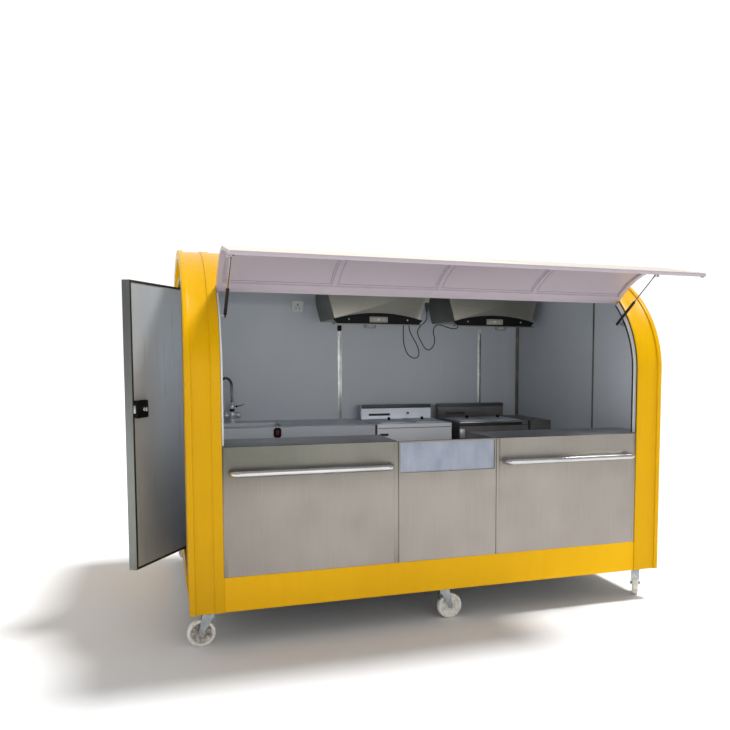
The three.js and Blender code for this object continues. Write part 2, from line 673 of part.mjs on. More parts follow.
function buildStruts() {
  const [footY, footZ] = archPlace(STRUT_FOOT.inward, STRUT_FOOT.angle);
  const shutHead = archPlace(STRUT_HEAD.inward, STRUT_HEAD.angle);
  const [headY, headZ] = turned(shutHead, hingePlace(), -AWNING_OPEN);
  const reach = Math.hypot(headY - footY, headZ - footZ);
  const lean = Math.atan2(footY - headY, headZ - footZ);
  const shut = Math.hypot(shutHead[0] - footY, shutHead[1] - footZ);
  const rodStart = reach - shut + 2 * STRUT_EYE_RADIUS;
  const half = STRUT_EYE_WIDTH / 2;
  const places = [['left', WINDOW_LEFT + STRUT_INBOARD], ['right', WINDOW_RIGHT - STRUT_INBOARD]];
  for (const [side, x] of places) {
    const group = new THREE.Group();
    group.position.set(x, footY, footZ);
    group.rotation.x = lean;
    kiosk.add(group);
    const tubeEnd = joinAndCut([strutTube(), crosswise(STRUT_EYE_RADIUS, -half, half, 0, 0, 12)]);
    addMesh(group, `strut_cylinder_${side}`, tubeEnd, BLACK);
    const rod = joinAndCut([
      upright(STRUT_ROD_RADIUS, rodStart, reach, 10),
      crosswise(STRUT_EYE_RADIUS, -half, half, 0, reach, 12),
    ]);
    addMesh(group, `strut_rod_${side}`, rod, STAINLESS);
  }
}

const DOOR_PIN = { x: -DOOR_PIN_OUT, y: DOOR_FRONT + DOOR_WIDTH + DOOR_PIN_RADIUS + FIT };

function buildDoor() {
  const doorTop = DOOR_BOTTOM + DOOR_HEIGHT;
  const hinge = joinAndCut([
    upright(DOOR_PIN_RADIUS, DOOR_BOTTOM, doorTop, 12).translate(DOOR_PIN.x, DOOR_PIN.y, 0),
    box([END_WALL_INSET - DOOR_LEAF, DOOR_PIN.y, DOOR_BOTTOM],
      [END_WALL_INSET, DOOR_PIN.y + DOOR_LEAF_WIDTH, doorTop]),
  ]);
  addMesh(kiosk, 'door_hinge', hinge, STAINLESS);
  const group = new THREE.Group();
  group.position.set(DOOR_PIN.x, DOOR_PIN.y, 0);
  group.rotation.z = -DOOR_OPEN;
  kiosk.add(group);
  const seated = (name, geometry, look) => {
    addMesh(group, name, geometry.translate(-DOOR_PIN.x, -DOOR_PIN.y, 0), look);
  };
  const inner = DOOR_FACE + DOOR_THICKNESS;
  seated('door_panel', box([DOOR_FACE, DOOR_FRONT, DOOR_BOTTOM],
    [inner, DOOR_FRONT + DOOR_WIDTH, doorTop]), PANEL_GREY);
  const lockFrom = [inner + FIT, DOOR_FRONT + DOOR_GAP, LOCK_HEIGHT];
  const lockTo = [lockFrom[0] + LOCK_SIZE.x, lockFrom[1] + LOCK_SIZE.y, lockFrom[2] + LOCK_SIZE.z];
  seated('door_lock', box(lockFrom, lockTo), BLACK);
  const [knobY, knobZ] = [(lockFrom[1] + lockTo[1]) / 2, (lockFrom[2] + lockTo[2]) / 2];
  const knobFrom = lockTo[0] + FIT;
  const knobTo = knobFrom + LOCK_KNOB_RADIUS;
  const grip = LOCK_KNOB_RADIUS * 0.3;
  const knob = joinAndCut([
    crosswise(LOCK_KNOB_RADIUS, knobFrom, knobTo, knobY, knobZ, 16),
    box([knobTo - OVERLAP, knobY - grip, knobZ - LOCK_KNOB_RADIUS],
      [knobTo + LOCK_KNOB_RADIUS, knobY + grip, knobZ + LOCK_KNOB_RADIUS]),
  ]);
  seated('door_lock_knob', knob, STAINLESS);
}

// A sheet-metal table against the back wall: folded top with an apron, legs and a low shelf
function tablePieces(from, to) {
  const apronBottom = KITCHEN_HEIGHT - APRON_HEIGHT;
  const pieces = [
    box([from, KITCHEN_FRONT, KITCHEN_HEIGHT - SHEET], [to, WALL_BACK, KITCHEN_HEIGHT]),
    box([from, KITCHEN_FRONT, apronBottom], [to, KITCHEN_FRONT + SHEET, KITCHEN_HEIGHT]),
    box([from, KITCHEN_FRONT, apronBottom], [from + SHEET, WALL_BACK, KITCHEN_HEIGHT]),
    box([to - SHEET, KITCHEN_FRONT, apronBottom], [to, WALL_BACK, KITCHEN_HEIGHT]),
    box([from, KITCHEN_FRONT + TABLE_LEG / 2, SHELF_HEIGHT], [to, WALL_BACK, SHELF_HEIGHT + SHEET]),
  ];
  const inset = SHEET / 2;
  for (const x of [from + inset, to - inset - TABLE_LEG]) {
    for (const y of [KITCHEN_FRONT + inset, WALL_BACK - inset - TABLE_LEG]) {
      pieces.push(box([x, y, FLOOR_TOP], [x + TABLE_LEG, y + TABLE_LEG, KITCHEN_HEIGHT - SHEET / 2]));
    }
  }
  return pieces;
}

function buildSinkTable() {
  const from = [SINK_LEFT, SINK_FRONT, KITCHEN_HEIGHT - SINK.drop];
  const to = [SINK_LEFT + SINK.width, SINK_FRONT + SINK.depth, KITCHEN_HEIGHT + SHEET];
  const around = from.map((value) => value - SHEET);
  const bowl = box(around, [to[0] + SHEET, to[1] + SHEET, KITCHEN_HEIGHT - SHEET / 2]);
  const halfWidth = SWITCH.width / 2;
  const halfHeight = SWITCH.height / 2;
  const face = KITCHEN_FRONT - SWITCH.housing;
  const rim = SWITCH.housing;
  const housing = box([SWITCH_X - halfWidth - rim, face, SWITCH_Z - halfHeight - rim],
    [SWITCH_X + halfWidth + rim, KITCHEN_FRONT + OVERLAP, SWITCH_Z + halfHeight + rim]);
  const tableEnd = FRYER_START - TABLE_SPACE;
  const table = joinAndCut([...tablePieces(INNER_LEFT + FIT, tableEnd), bowl, housing], [box(from, to)]);
  addMesh(kiosk, 'sink_table', table, STAINLESS);
  const rockOutline = [
    [face - FIT, SWITCH_Z], [face - FIT - SWITCH.tilt, SWITCH_Z + halfHeight],
    [face - 2 * SWITCH.housing, SWITCH_Z + halfHeight], [face - 1.5 * SWITCH.housing, SWITCH_Z],
    [face - 2 * SWITCH.housing, SWITCH_Z - halfHeight], [face - FIT - SWITCH.tilt, SWITCH_Z - halfHeight],
  ];
  const rocker = alongX(rockOutline, SWITCH_X - halfWidth, SWITCH_X + halfWidth);
  addMesh(kiosk, 'switch_rocker', rocker, RED);
}

function buildFaucet() {
  const top = KITCHEN_HEIGHT + FAUCET.height;
  const valveZ = KITCHEN_HEIGHT + VALVE.lift;
  const leverZ = top - LEVER.hub - LEVER.rise / 2;
  const stubEnd = FAUCET.radius + LEVER.stub;
  const body = joinAndCut([
    upright(FAUCET.flange, KITCHEN_HEIGHT, KITCHEN_HEIGHT + FAUCET.flangeHeight, 20),
    upright(FAUCET.radius, KITCHEN_HEIGHT, top, 16),
    crosswise(VALVE.radius, -VALVE.half, VALVE.half, 0, valveZ, 14),
    crosswise(LEVER.hub - OVERLAP, 0, stubEnd, 0, leverZ, 10),
  ]).translate(FAUCET_X, FAUCET_Y, 0);
  addMesh(kiosk, 'faucet_body', body, STAINLESS);
  const group = new THREE.Group();
  group.position.set(FAUCET_X, FAUCET_Y, top + FIT);
  group.rotation.z = SPOUT_TURN;
  kiosk.add(group);
  const places = [new THREE.Vector3(), new THREE.Vector3(0, 0, SPOUT_RISE)];
  for (let i = 1; i <= SPOUT_BEND_STEPS; i += 1) {
    const turn = (Math.PI * i) / SPOUT_BEND_STEPS;
    const y = -SPOUT_BEND * (1 - Math.cos(turn));
    places.push(new THREE.Vector3(0, y, SPOUT_RISE + SPOUT_BEND * Math.sin(turn)));
  }
  places.push(new THREE.Vector3(0, -2 * SPOUT_BEND, SPOUT_RISE - SPOUT_DROP));
  addMesh(group, 'faucet_spout', tube(places, SPOUT_RADIUS, 10), STAINLESS);
  const hub = LEVER.hub;
  const lever = joinAndCut([
    new THREE.CylinderGeometry(hub, hub, hub * 2, 16),
    alongY([
      [0, -hub / 2], [LEVER.length, LEVER.rise], [LEVER.length, LEVER.rise + hub / 2], [0, hub / 2],
    ], -hub / 2, hub / 2),
  ]);
  lever.translate(FAUCET_X + stubEnd + FIT + hub, FAUCET_Y, leverZ);
  addMesh(kiosk, 'faucet_lever', lever, STAINLESS);
}

function buildFryers() {
  [0, 1].forEach((i) => {
    const name = `fryer_${i + 1}`;
    const start = FRYER_START + i * FRYER_PITCH;
    const end = start + FRYER_WIDTH;
    const front = KITCHEN_FRONT;
    const back = front + FRYER_DEPTH;
    const pieces = [
      box([start, front, FLOOR_TOP + FRYER_FOOT], [end, back, KITCHEN_HEIGHT]),
      box([start, back - FRYER_FLUE_DEPTH, KITCHEN_HEIGHT - OVERLAP],
        [end, back, KITCHEN_HEIGHT + FRYER_FLUE_HEIGHT]),
    ];
    const foot = FRYER_FOOT * 0.6;
    for (const x of [start, end - foot]) {
      for (const y of [front, back - foot]) {
        pieces.push(box([x, y, FLOOR_TOP], [x + foot, y + foot, FLOOR_TOP + FRYER_FOOT + OVERLAP]));
      }
    }
    const gap = (FRYER_WIDTH - 2 * TANK.width) / 3;
    const tanks = [start + gap, end - gap - TANK.width];
    const tankFront = front + TANK.fromFront;
    const cuts = tanks.map((x) => box([x, tankFront, KITCHEN_HEIGHT - TANK.drop],
      [x + TANK.width, tankFront + TANK.depth, KITCHEN_HEIGHT + SHEET]));
    addMesh(kiosk, `${name}_cabinet`, joinAndCut(pieces, cuts), i ? STEEL_GREY : STAINLESS);
    tanks.forEach((x, side) => buildLid(`${name}_lid_${side ? 'right' : 'left'}`, x));
    const knob = new THREE.CylinderGeometry(KNOB_RADIUS, KNOB_RADIUS, KNOB_DEPTH, 16);
    knob.translate((start + end) / 2, front - FIT - KNOB_DEPTH / 2, KITCHEN_HEIGHT - KNOB_DROP);
    addMesh(kiosk, `${name}_knob`, knob, BLACK);
  });
}

function buildLid(name, x) {
  const bottom = KITCHEN_HEIGHT + FIT;
  const top = bottom + LID_THICKNESS;
  const knob = new THREE.SphereGeometry(LID_KNOB_RADIUS, 10, 8);
  const front = KITCHEN_FRONT + TANK.fromFront;
  const [midX, midY] = [x + TANK.width / 2, front + TANK.depth / 2];
  const lid = joinAndCut([
    box([x - LID_LAP, front - LID_LAP, bottom],
      [x + TANK.width + LID_LAP, front + TANK.depth + LID_LAP, top]),
    knob.rotateX(Math.PI / 2).translate(midX, midY, top + LID_KNOB_RADIUS - OVERLAP),
  ]);
  addMesh(kiosk, name, lid, STAINLESS);
}

function buildEndTable() {
  const end = LENGTH - INNER_LEFT - FIT;
  addMesh(kiosk, 'end_table', joinAndCut(tablePieces(END_TABLE_START, end)), STAINLESS);
}

// A side outline drawn across, its width growing with the height
function flaredAlongX(outline, centre, half) {
  const geometry = alongX(outline, -1, 1);
  const place = geometry.getAttribute('position');
  for (let i = 0; i < place.count; i += 1) {
    place.setX(i, centre + place.getX(i) * half(place.getZ(i)));
  }
  return geometry;
}

// All that lies behind the curved inner face of the roof and the bands
function behindRoof(offset) {
  const inside = archPlaces(offset, Math.PI / 2, Math.PI);
  return alongX([...inside, [DEPTH, SPRING_HEIGHT + REAR_LIFT], [DEPTH, SPRING_HEIGHT + ARCH_RISE],
    [HALF_DEPTH, SPRING_HEIGHT + ARCH_RISE]], 0, LENGTH);
}

function buildHoods() {
  const flare = (HOOD_HALF_TOP - HOOD_HALF_BOTTOM) / (HOOD_TOP - HOOD_BOTTOM);
  HOOD_CENTRES.forEach((centre, i) => {
    const half = (z) => HOOD_HALF_BOTTOM + flare * (z - HOOD_BOTTOM);
    const outer = flaredAlongX(rectangle(HOOD_FRONT, HOOD_BOTTOM, WALL_BACK, HOOD_TOP), centre, half);
    const hollowFront = HOOD_FRONT + HOOD_RIM;
    const hollowOutline = rectangle(hollowFront, HOOD_BOTTOM - HOOD_SKIN,
      hollowFront + HOOD_HOLLOW_DEPTH, (HOOD_BOTTOM + HOOD_TOP) / 2);
    const hollow = flaredAlongX(hollowOutline, centre, (z) => half(z) - HOOD_SKIN);
    const control = HOOD_CONTROL;
    const low = HOOD_BOTTOM - control.drop;
    const arch = [
      [centre + control.half, HOOD_BOTTOM], [centre + control.half - control.drop, low],
      [centre - control.half + control.drop, low], [centre - control.half, HOOD_BOTTOM],
    ];
    const steps = 10;
    for (let k = 1; k < steps; k += 1) {
      const share = (2 * k) / steps - 1;
      arch.push([centre + control.half * share, HOOD_BOTTOM + control.rise * (1 - share * share)]);
    }
    const pieces = [outer, alongY(arch, HOOD_FRONT - control.thickness, HOOD_FRONT + control.thickness)];
    if (i === 0) {
      const plug = hanging(PLUG_CABLE_REST, centre).at(-1);
      const z = plug.z + PLUG.length + 2 * FIT;
      pieces.push(box([centre, CABLE_PLANE - SOCKET.depth / 2, z],
        [plug.x + SOCKET.width / 2, CABLE_PLANE + SOCKET.depth / 2, z + SOCKET.height]));
    }
    const face = HOOD_FRONT - control.thickness;
    const button = HOOD_SWITCH;
    const [sideways, upward] = [button.half + FIT, button.height / 2 + FIT];
    const recess = box([centre - sideways, face - OVERLAP, HOOD_BOTTOM - upward],
      [centre + sideways, face + button.seat + button.travel, HOOD_BOTTOM + upward]);
    const body = joinAndCut(pieces, [hollow, recess, behindRoof(PANEL_INNER + FIT)]);
    addMesh(kiosk, `hood_${i + 1}_body`, body, STEEL_GREY);
    const pressed = box([centre - button.half, face - button.proud, HOOD_BOTTOM - button.height / 2],
      [centre + button.half, face + button.seat - FIT, HOOD_BOTTOM + button.height / 2]);
    addMesh(kiosk, `hood_${i + 1}_switch`, pressed, STAINLESS);
  });
}

// The places of a cable that hangs in front of a hood's underside
function hanging(table, centre) {
  const top = HOOD_BOTTOM - FIT;
  return table.map(([across, drop]) => new THREE.Vector3(centre + across, CABLE_PLANE, top - drop));
}

// Evenly spaced places on a smooth curve through the chosen ones
function smoothRoute(places) {
  const curve = new THREE.CatmullRomCurve3(places, false, 'centripetal');
  return curve.getSpacedPoints(Math.round(curve.getLength() / CABLE_STEP));
}

function buildCables() {
  const [first, second] = HOOD_CENTRES;
  const loop = hanging(LOOP_CABLE, first);
  const toPlug = [...hanging(PLUG_CABLE_START, second), ...hanging(PLUG_CABLE_REST, first)];
  addMesh(kiosk, 'hood_1_cable', tube(smoothRoute(loop), CABLE_RADIUS, CABLE_SIDES), BLACK);
  addMesh(kiosk, 'hood_2_cable', tube(smoothRoute(toPlug), CABLE_RADIUS, CABLE_SIDES), BLACK);
  const end = toPlug.at(-1);
  const plug = upright(PLUG.radius, end.z + FIT, end.z + FIT + PLUG.length, 12);
  addMesh(kiosk, 'cable_plug', plug.translate(end.x, end.y, 0), BLACK);
}

buildChassis();
buildCasters();
buildBands();
buildRoofAndRear();
buildEndWalls();
buildServingFront();
buildAwning();
buildStruts();
buildDoor();
buildSinkTable();
buildFaucet();
buildFryers();
buildEndTable();
buildHoods();
buildCables();

// The origin goes to the middle of the footprint, on the ground
kiosk.updateMatrixWorld(true);
const reach = new THREE.Box3().setFromObject(kiosk, true);
kiosk.position.set(-(reach.min.x + reach.max.x) / 2, -(reach.min.y + reach.max.y) / 2, 0);

export default kiosk;
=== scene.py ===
import bpy
import bmesh
import json
import math
from mathutils import Matrix, Vector

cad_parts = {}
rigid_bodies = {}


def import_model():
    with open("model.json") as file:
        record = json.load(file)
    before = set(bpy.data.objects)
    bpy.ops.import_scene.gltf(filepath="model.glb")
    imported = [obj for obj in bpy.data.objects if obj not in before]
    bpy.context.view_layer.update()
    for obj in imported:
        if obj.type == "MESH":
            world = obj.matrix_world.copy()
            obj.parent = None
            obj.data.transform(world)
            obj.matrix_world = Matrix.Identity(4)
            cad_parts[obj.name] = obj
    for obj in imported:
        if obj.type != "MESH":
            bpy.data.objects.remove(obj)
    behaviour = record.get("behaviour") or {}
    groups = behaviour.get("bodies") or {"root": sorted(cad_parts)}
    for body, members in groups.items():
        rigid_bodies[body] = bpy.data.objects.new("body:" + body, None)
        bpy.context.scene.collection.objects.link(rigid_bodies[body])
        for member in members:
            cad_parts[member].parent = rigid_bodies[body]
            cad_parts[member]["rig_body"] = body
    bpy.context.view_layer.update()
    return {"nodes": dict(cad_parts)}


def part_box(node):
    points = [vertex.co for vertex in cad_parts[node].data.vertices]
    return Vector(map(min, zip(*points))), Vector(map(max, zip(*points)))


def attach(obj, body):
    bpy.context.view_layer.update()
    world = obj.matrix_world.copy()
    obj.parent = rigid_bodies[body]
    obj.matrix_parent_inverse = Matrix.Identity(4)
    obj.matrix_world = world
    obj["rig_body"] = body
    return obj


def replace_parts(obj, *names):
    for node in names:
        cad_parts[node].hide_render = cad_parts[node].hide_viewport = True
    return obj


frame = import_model()


# Studio: a pale seamless floor under even light, with a soft key from above right, a wide soft box
# in front and a low fill at the counter. Places are in the kiosk's own millimetres: right from its
# outer left end, back from the front bead and up from the ground, tied to the rear wall's corner.
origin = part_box("rear_wall")[0] - Vector((0.178, 2.070, 0.200))
to_row = Matrix.Translation(origin) @ Matrix.Scale(0.001, 4)


def linear(code):
    """An sRGB hex colour as linear light."""
    shares = [int(code[i:i + 2], 16) / 255 for i in (1, 3, 5)]
    return [s / 12.92 if s <= 0.04045 else ((s + 0.055) / 1.055) ** 2.4 for s in shares] + [1.0]


def add(tree, kind, inputs=None, to=None, **settings):
    """Adds one node with its settings and links. A node given as an input stands for its first live
    output, and the node itself feeds the socket it is added to."""
    item = tree.nodes.new("ShaderNode" + kind)
    for name, value in settings.items():
        setattr(item, name, value)
    for socket, value in (inputs or {}).items():
        if isinstance(value, bpy.types.Node):
            value = next(output for output in value.outputs if output.enabled)
        if isinstance(value, bpy.types.NodeSocket):
            tree.links.new(value, item.inputs[socket])
        else:
            item.inputs[socket].default_value = value
    if to is not None:
        tree.links.new(next(output for output in item.outputs if output.enabled), to)
    return item


def begin(name, **sockets):
    """A new material: its tree, its shader's sockets and the piece's own coordinates, in metres."""
    finish = bpy.data.materials.new(name)
    finish.use_nodes = True
    tree = finish.node_tree
    tree.nodes.clear()
    shader = add(tree, "BsdfPrincipled", {key.replace("_", " "): value for key, value in sockets.items()})
    add(tree, "OutputMaterial", {"Surface": shader})
    return finish, tree, shader.inputs, add(tree, "TexCoord").outputs["Object"]


def per_metre(size):
    """A texture's scale, from the real size of its grain in millimetres."""
    return 1000 / size


yaw, pitch, roll = (math.radians(turn) for turn in (20.30, 4.39, -0.21))
forward = Vector((math.sin(yaw) * math.cos(pitch), math.cos(yaw) * math.cos(pitch), -math.sin(pitch)))
level = Vector((math.cos(yaw), -math.sin(yaw), 0))
down = forward.cross(level)
across = math.cos(roll) * level + math.sin(roll) * down
upward = math.sin(roll) * level - math.cos(roll) * down
stand = Matrix.Translation(to_row @ Vector((-132, -4280, 1563)))
camera = bpy.data.objects.new("camera", bpy.data.cameras.new("camera"))
camera.matrix_world = stand @ Matrix((across, upward, -forward)).transposed().to_4x4()
camera.data.lens = 38.98
camera.data.shift_x, camera.data.shift_y = -0.1159, 0.0730
bpy.context.collection.objects.link(camera)
bpy.context.scene.camera = camera
bpy.context.scene.view_settings.view_transform = "Standard"

# Matt studio paper: nearly white, with a very faint unevenness
paper, tree, into, place = begin("studio_paper", Roughness=0.9)
tone = add(tree, "TexNoise", {"Vector": place, "Scale": per_metre(2860), "Detail": 2.0})
add(tree, "Mix", {0: tone, 6: linear("#F4F4F4"), 7: linear("#F9F9F9")}, into["Base Color"], data_type="RGBA")
bm = bmesh.new()
bmesh.ops.create_grid(bm, x_segments=1, y_segments=1, size=60.0)
floor = bpy.data.objects.new("studio_floor", bpy.data.meshes.new("studio_floor"))
bm.to_mesh(floor.data)
bm.free()
floor.data.materials.append(paper)
bpy.context.collection.objects.link(floor)

# The camera sees a bright plain backdrop. What the steel mirrors is dimmer in front than behind.
world = bpy.data.worlds.new("studio_light")
world.use_nodes = True
tree = world.node_tree
sky = tree.nodes["Background"].inputs
sky["Color"].default_value = (0.97, 0.985, 1.0, 1)
aim = add(tree, "SeparateXYZ", {"Vector": add(tree, "TexCoord")})
glow = add(tree, "MapRange", {"Value": aim.outputs["Y"], "From Min": 0.3, "From Max": 0.9,
                              "To Min": 0.46, "To Max": 1.05})
add(tree, "MapRange", {"Value": add(tree, "LightPath"), "To Min": glow, "To Max": 1.1}, sky["Strength"])
bpy.context.scene.world = world

key = bpy.data.objects.new("key_light", bpy.data.lights.new("key_light", "SUN"))
key.data.energy = 3.0
key.data.angle = math.radians(11)
key.rotation_euler = Vector((0.36, -0.06, 0.93)).to_track_quat("Z", "Y").to_euler()
bpy.context.collection.objects.link(key)
for name, where, target, width, height, energy in (
        ("soft_box", (2500, -6600, 2300), (1450, 900, 1250), 5.0, 2.6, 52.0),
        ("counter_fill", (1450, 100, 1400), (1450, 1100, 1400), 2.5, 0.4, 2.9)):
    lamp = bpy.data.objects.new(name, bpy.data.lights.new(name, "AREA"))
    lamp.data.shape = "RECTANGLE"
    lamp.data.size, lamp.data.size_y, lamp.data.energy = width, height, energy
    lamp.location = to_row @ Vector(where)
    lamp.rotation_euler = (lamp.location - to_row @ Vector(target)).to_track_quat("Z", "Y").to_euler()
    bpy.context.collection.objects.link(lamp)


# Cables: two round rubber leads of 8 mm that hang from the extractor hoods. One is a spare loop
# that goes back into its hood, the other comes from the right hood and ends in the plug that
# sits in the left hood's socket. Each leaves its hood through a moulded sleeve.
FIT = 0.3  # fixed pieces stand this far off what carries them
HOODS = (1438.0, 2386.0)
HOOD_BOTTOM = 1845.0
CABLE_FRONT = 1540.0
CABLE_RADIUS = 4.0
loop_cable = [
    [204, 0], [204, 42], [203, 103], [206, 164], [214, 203], [230, 243], [256, 273], [284, 286],
    [310, 284], [326, 265], [327, 233], [315, 194], [289, 145], [263, 101], [250, 60], [249, 30], [249, 0],
]
plug_cable_start = [[-296, 0], [-296, 30], [-308, 52]]
plug_cable_rest = [
    [607, 56], [557, 45], [507, 30], [470, 33], [449, 59], [446, 93], [455, 126], [455, 165],
    [439, 202], [408, 224], [377, 209], [352, 170], [325, 120], [318, 80], [337, 45], [372, 13],
    [391, -17], [392, -60],
]

# Soft PVC-rubber sheath: matt black with a greyish bloom where it has been handled
cable_rubber, tree, into, place = begin("cable_rubber", Roughness=0.5, IOR=1.5)
bloom = add(tree, "TexNoise", {"Vector": place, "Scale": per_metre(28.6), "Detail": 3.0})
add(tree, "Mix", {0: bloom, 6: linear("#141516"), 7: linear("#2B2C2E")}, into["Base Color"], data_type="RGBA")
add(tree, "MapRange", {"Value": bloom, "To Min": 0.4, "To Max": 0.62}, into["Roughness"])
skin = add(tree, "TexNoise", {"Vector": place, "Scale": per_metre(1.11), "Detail": 1.0})
add(tree, "Bump", {"Height": skin, "Distance": 0.0002, "Strength": 0.5}, into["Normal"])


def hanging(table, centre):
    """Places below a hood, from [across, drop] pairs."""
    return [Vector((centre + side, CABLE_FRONT, HOOD_BOTTOM - FIT - drop)) for side, drop in table]


def smooth_route(places, step=10.0):
    """Even steps on the smooth curve through the places, with knots spaced by the root of distance."""
    ends = [2 * places[0] - places[1]] + places + [2 * places[-1] - places[-2]]
    fine = []
    for a, b, c, d in zip(ends, ends[1:], ends[2:], ends[3:]):
        t1 = (b - a).length ** 0.5
        t2 = t1 + (c - b).length ** 0.5
        t3 = t2 + (d - c).length ** 0.5
        for i in range(24):
            t = t1 + (t2 - t1) * i / 24
            ab = a.lerp(b, t / t1)
            bc = b.lerp(c, (t - t1) / (t2 - t1))
            cd = c.lerp(d, (t - t2) / (t3 - t2))
            fine.append(ab.lerp(bc, t / t2).lerp(bc.lerp(cd, (t - t1) / (t3 - t1)), (t - t1) / (t2 - t1)))
    fine.append(places[-1])
    total = sum((q - p).length for p, q in zip(fine, fine[1:]))
    wanted, gone, route = total / round(total / step), 0.0, [fine[0]]
    for p, q in zip(fine, fine[1:]):
        gone += (q - p).length
        if gone >= wanted * len(route) - 1e-6:
            route.append(q)
    if len(route) <= round(total / step):
        route.append(fine[-1])
    route[-1] = fine[-1]
    return route, total


def pipe(name, places, radius, body, finish, sides=6):
    """A round bar or tube along places given in the kiosk's millimetres."""
    curve = bpy.data.curves.new(name, "CURVE")
    curve.dimensions = "3D"
    curve.bevel_depth = radius * 0.001
    curve.bevel_resolution = sides
    curve.use_fill_caps = True
    spline = curve.splines.new("POLY")
    spline.points.add(len(places) - 1)
    for point, where in zip(spline.points, places):
        point.co = (*(to_row @ Vector(where)), 1)
    spline.use_smooth = True
    curve.materials.append(finish)
    piece = bpy.data.objects.new(name, curve)
    bpy.context.collection.objects.link(piece)
    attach(piece, body)
    return piece


def settle(bm, name, body, finishes, turn=Matrix(), sharp=35.0):
    """Turns a finished shape from millimetres into its place on a body, smooth but for its sharp edges."""
    bm.transform(to_row @ turn)
    mesh = bpy.data.meshes.new(name)
    bm.to_mesh(mesh)
    bm.free()
    mesh.shade_smooth()
    mesh.set_sharp_from_angle(angle=math.radians(sharp))
    for finish in finishes if isinstance(finishes, (list, tuple)) else [finishes]:
        mesh.materials.append(finish)
    piece = bpy.data.objects.new(name, mesh)
    bpy.context.collection.objects.link(piece)
    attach(piece, body)
    return piece


def placed(where, degrees=0.0, axis="Z"):
    """A move to a place, with a turn about one axis there."""
    return Matrix.Translation(where) @ Matrix.Rotation(math.radians(degrees), 4, axis)


def spun(outline, steps=40):
    """An outline of [radius, height] places turned once round the upright axis."""
    bm = bmesh.new()
    ring = [bm.verts.new((radius, 0, height)) for radius, height in outline]
    for near, far in zip(ring, ring[1:]):
        bm.edges.new((near, far))
    bmesh.ops.spin(bm, geom=bm.verts[:] + bm.edges[:], cent=(0, 0, 0), axis=(0, 0, 1),
                   angle=2 * math.pi, steps=steps, use_merge=True)
    bmesh.ops.remove_doubles(bm, verts=bm.verts, dist=0.01)
    bmesh.ops.dissolve_degenerate(bm, edges=bm.edges, dist=0.001)
    bmesh.ops.recalc_face_normals(bm, faces=bm.faces)
    return bm


SLEEVE = [[0, 0], [9.5, 0], [9.5, -3], [7, -5], [6.4, -11], [5.4, -13], [5.9, -15], [4.9, -17], [5.3, -19],
          [4.4, -24], [0, -24]]
for title, side, centre in (("loop_out", 204, 0), ("loop_back", 249, 0), ("plug_lead", -296, 1)):
    turn = placed((HOODS[centre] + side, CABLE_FRONT, HOOD_BOTTOM))
    settle(spun(SLEEVE, 24), f"sleeve_{title}", "shell", cable_rubber, turn)

route, length = smooth_route(hanging(loop_cable, HOODS[0]))
loop = pipe("hood_1_loop_lead", route, CABLE_RADIUS, "shell", cable_rubber)
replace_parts(loop, "hood_1_cable")

route, length = smooth_route(hanging(plug_cable_start, HOODS[1]) + hanging(plug_cable_rest, HOODS[0]))
lead = pipe("hood_2_plug_lead", route, CABLE_RADIUS, "shell", cable_rubber)
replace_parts(lead, "hood_2_cable")
PLUG_BODY = [
    [0, 0.3], [4.6, 0.3], [5.6, 2], [4.9, 4], [6.2, 6], [5.4, 8], [7.0, 10], [6.2, 12], [7.9, 14], [7.2, 16],
    [9.6, 20], [12.6, 24], [13, 28], [12.2, 33], [12.2, 48], [13, 53], [13, 72], [12.2, 78.3], [0, 78.3],
]
plug = settle(spun(PLUG_BODY, 32), "lead_plug", "shell", cable_rubber, placed(route[-1]))
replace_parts(plug, "cable_plug")


# Chassis: a welded frame of 60 mm galvanised square tube with a bolted plate over each caster,
# and a floor of aluminium tread plate laid on top of it.
def put(shape, part, turn=Matrix(), finish=0):
    """Adds a part to a shape, turned into its place, in one of the shape's finishes."""
    part.transform(turn)
    for face in part.faces:
        face.material_index = finish
    held = bpy.data.meshes.new("held")
    part.to_mesh(held)
    part.free()
    shape.from_mesh(held)
    bpy.data.meshes.remove(held)
    return shape


def eased(node, finishes, width=1.2, pick=None):
    """A CAD node's copy with its triangles joined and its sheet edges eased, standing for the node."""
    bm = bmesh.new()
    bm.from_mesh(frame["nodes"][node].data)
    bmesh.ops.remove_doubles(bm, verts=bm.verts, dist=2e-6)
    bm.transform(to_row.inverted())
    bmesh.ops.dissolve_limit(bm, angle_limit=math.radians(0.8), verts=bm.verts, edges=bm.edges)
    edges = [edge for edge in bm.edges if edge.calc_face_angle(0) > math.radians(30)]
    if width:
        bmesh.ops.bevel(bm, geom=edges, offset=width, offset_type="OFFSET", segments=2, profile=0.5,
                        affect="EDGES", clamp_overlap=True, material=-1)
        # Bevels that meet leave slivers, which would shade black
        bmesh.ops.remove_doubles(bm, verts=bm.verts, dist=0.02)
        bmesh.ops.dissolve_degenerate(bm, edges=bm.edges, dist=0.02)
    for face in bm.faces:
        face.material_index = pick(face.calc_center_median(), face.normal) if pick else 0
    piece = settle(bm, f"{node}_formed", frame["nodes"][node]["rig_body"], finishes, sharp=20.0)
    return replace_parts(piece, node)


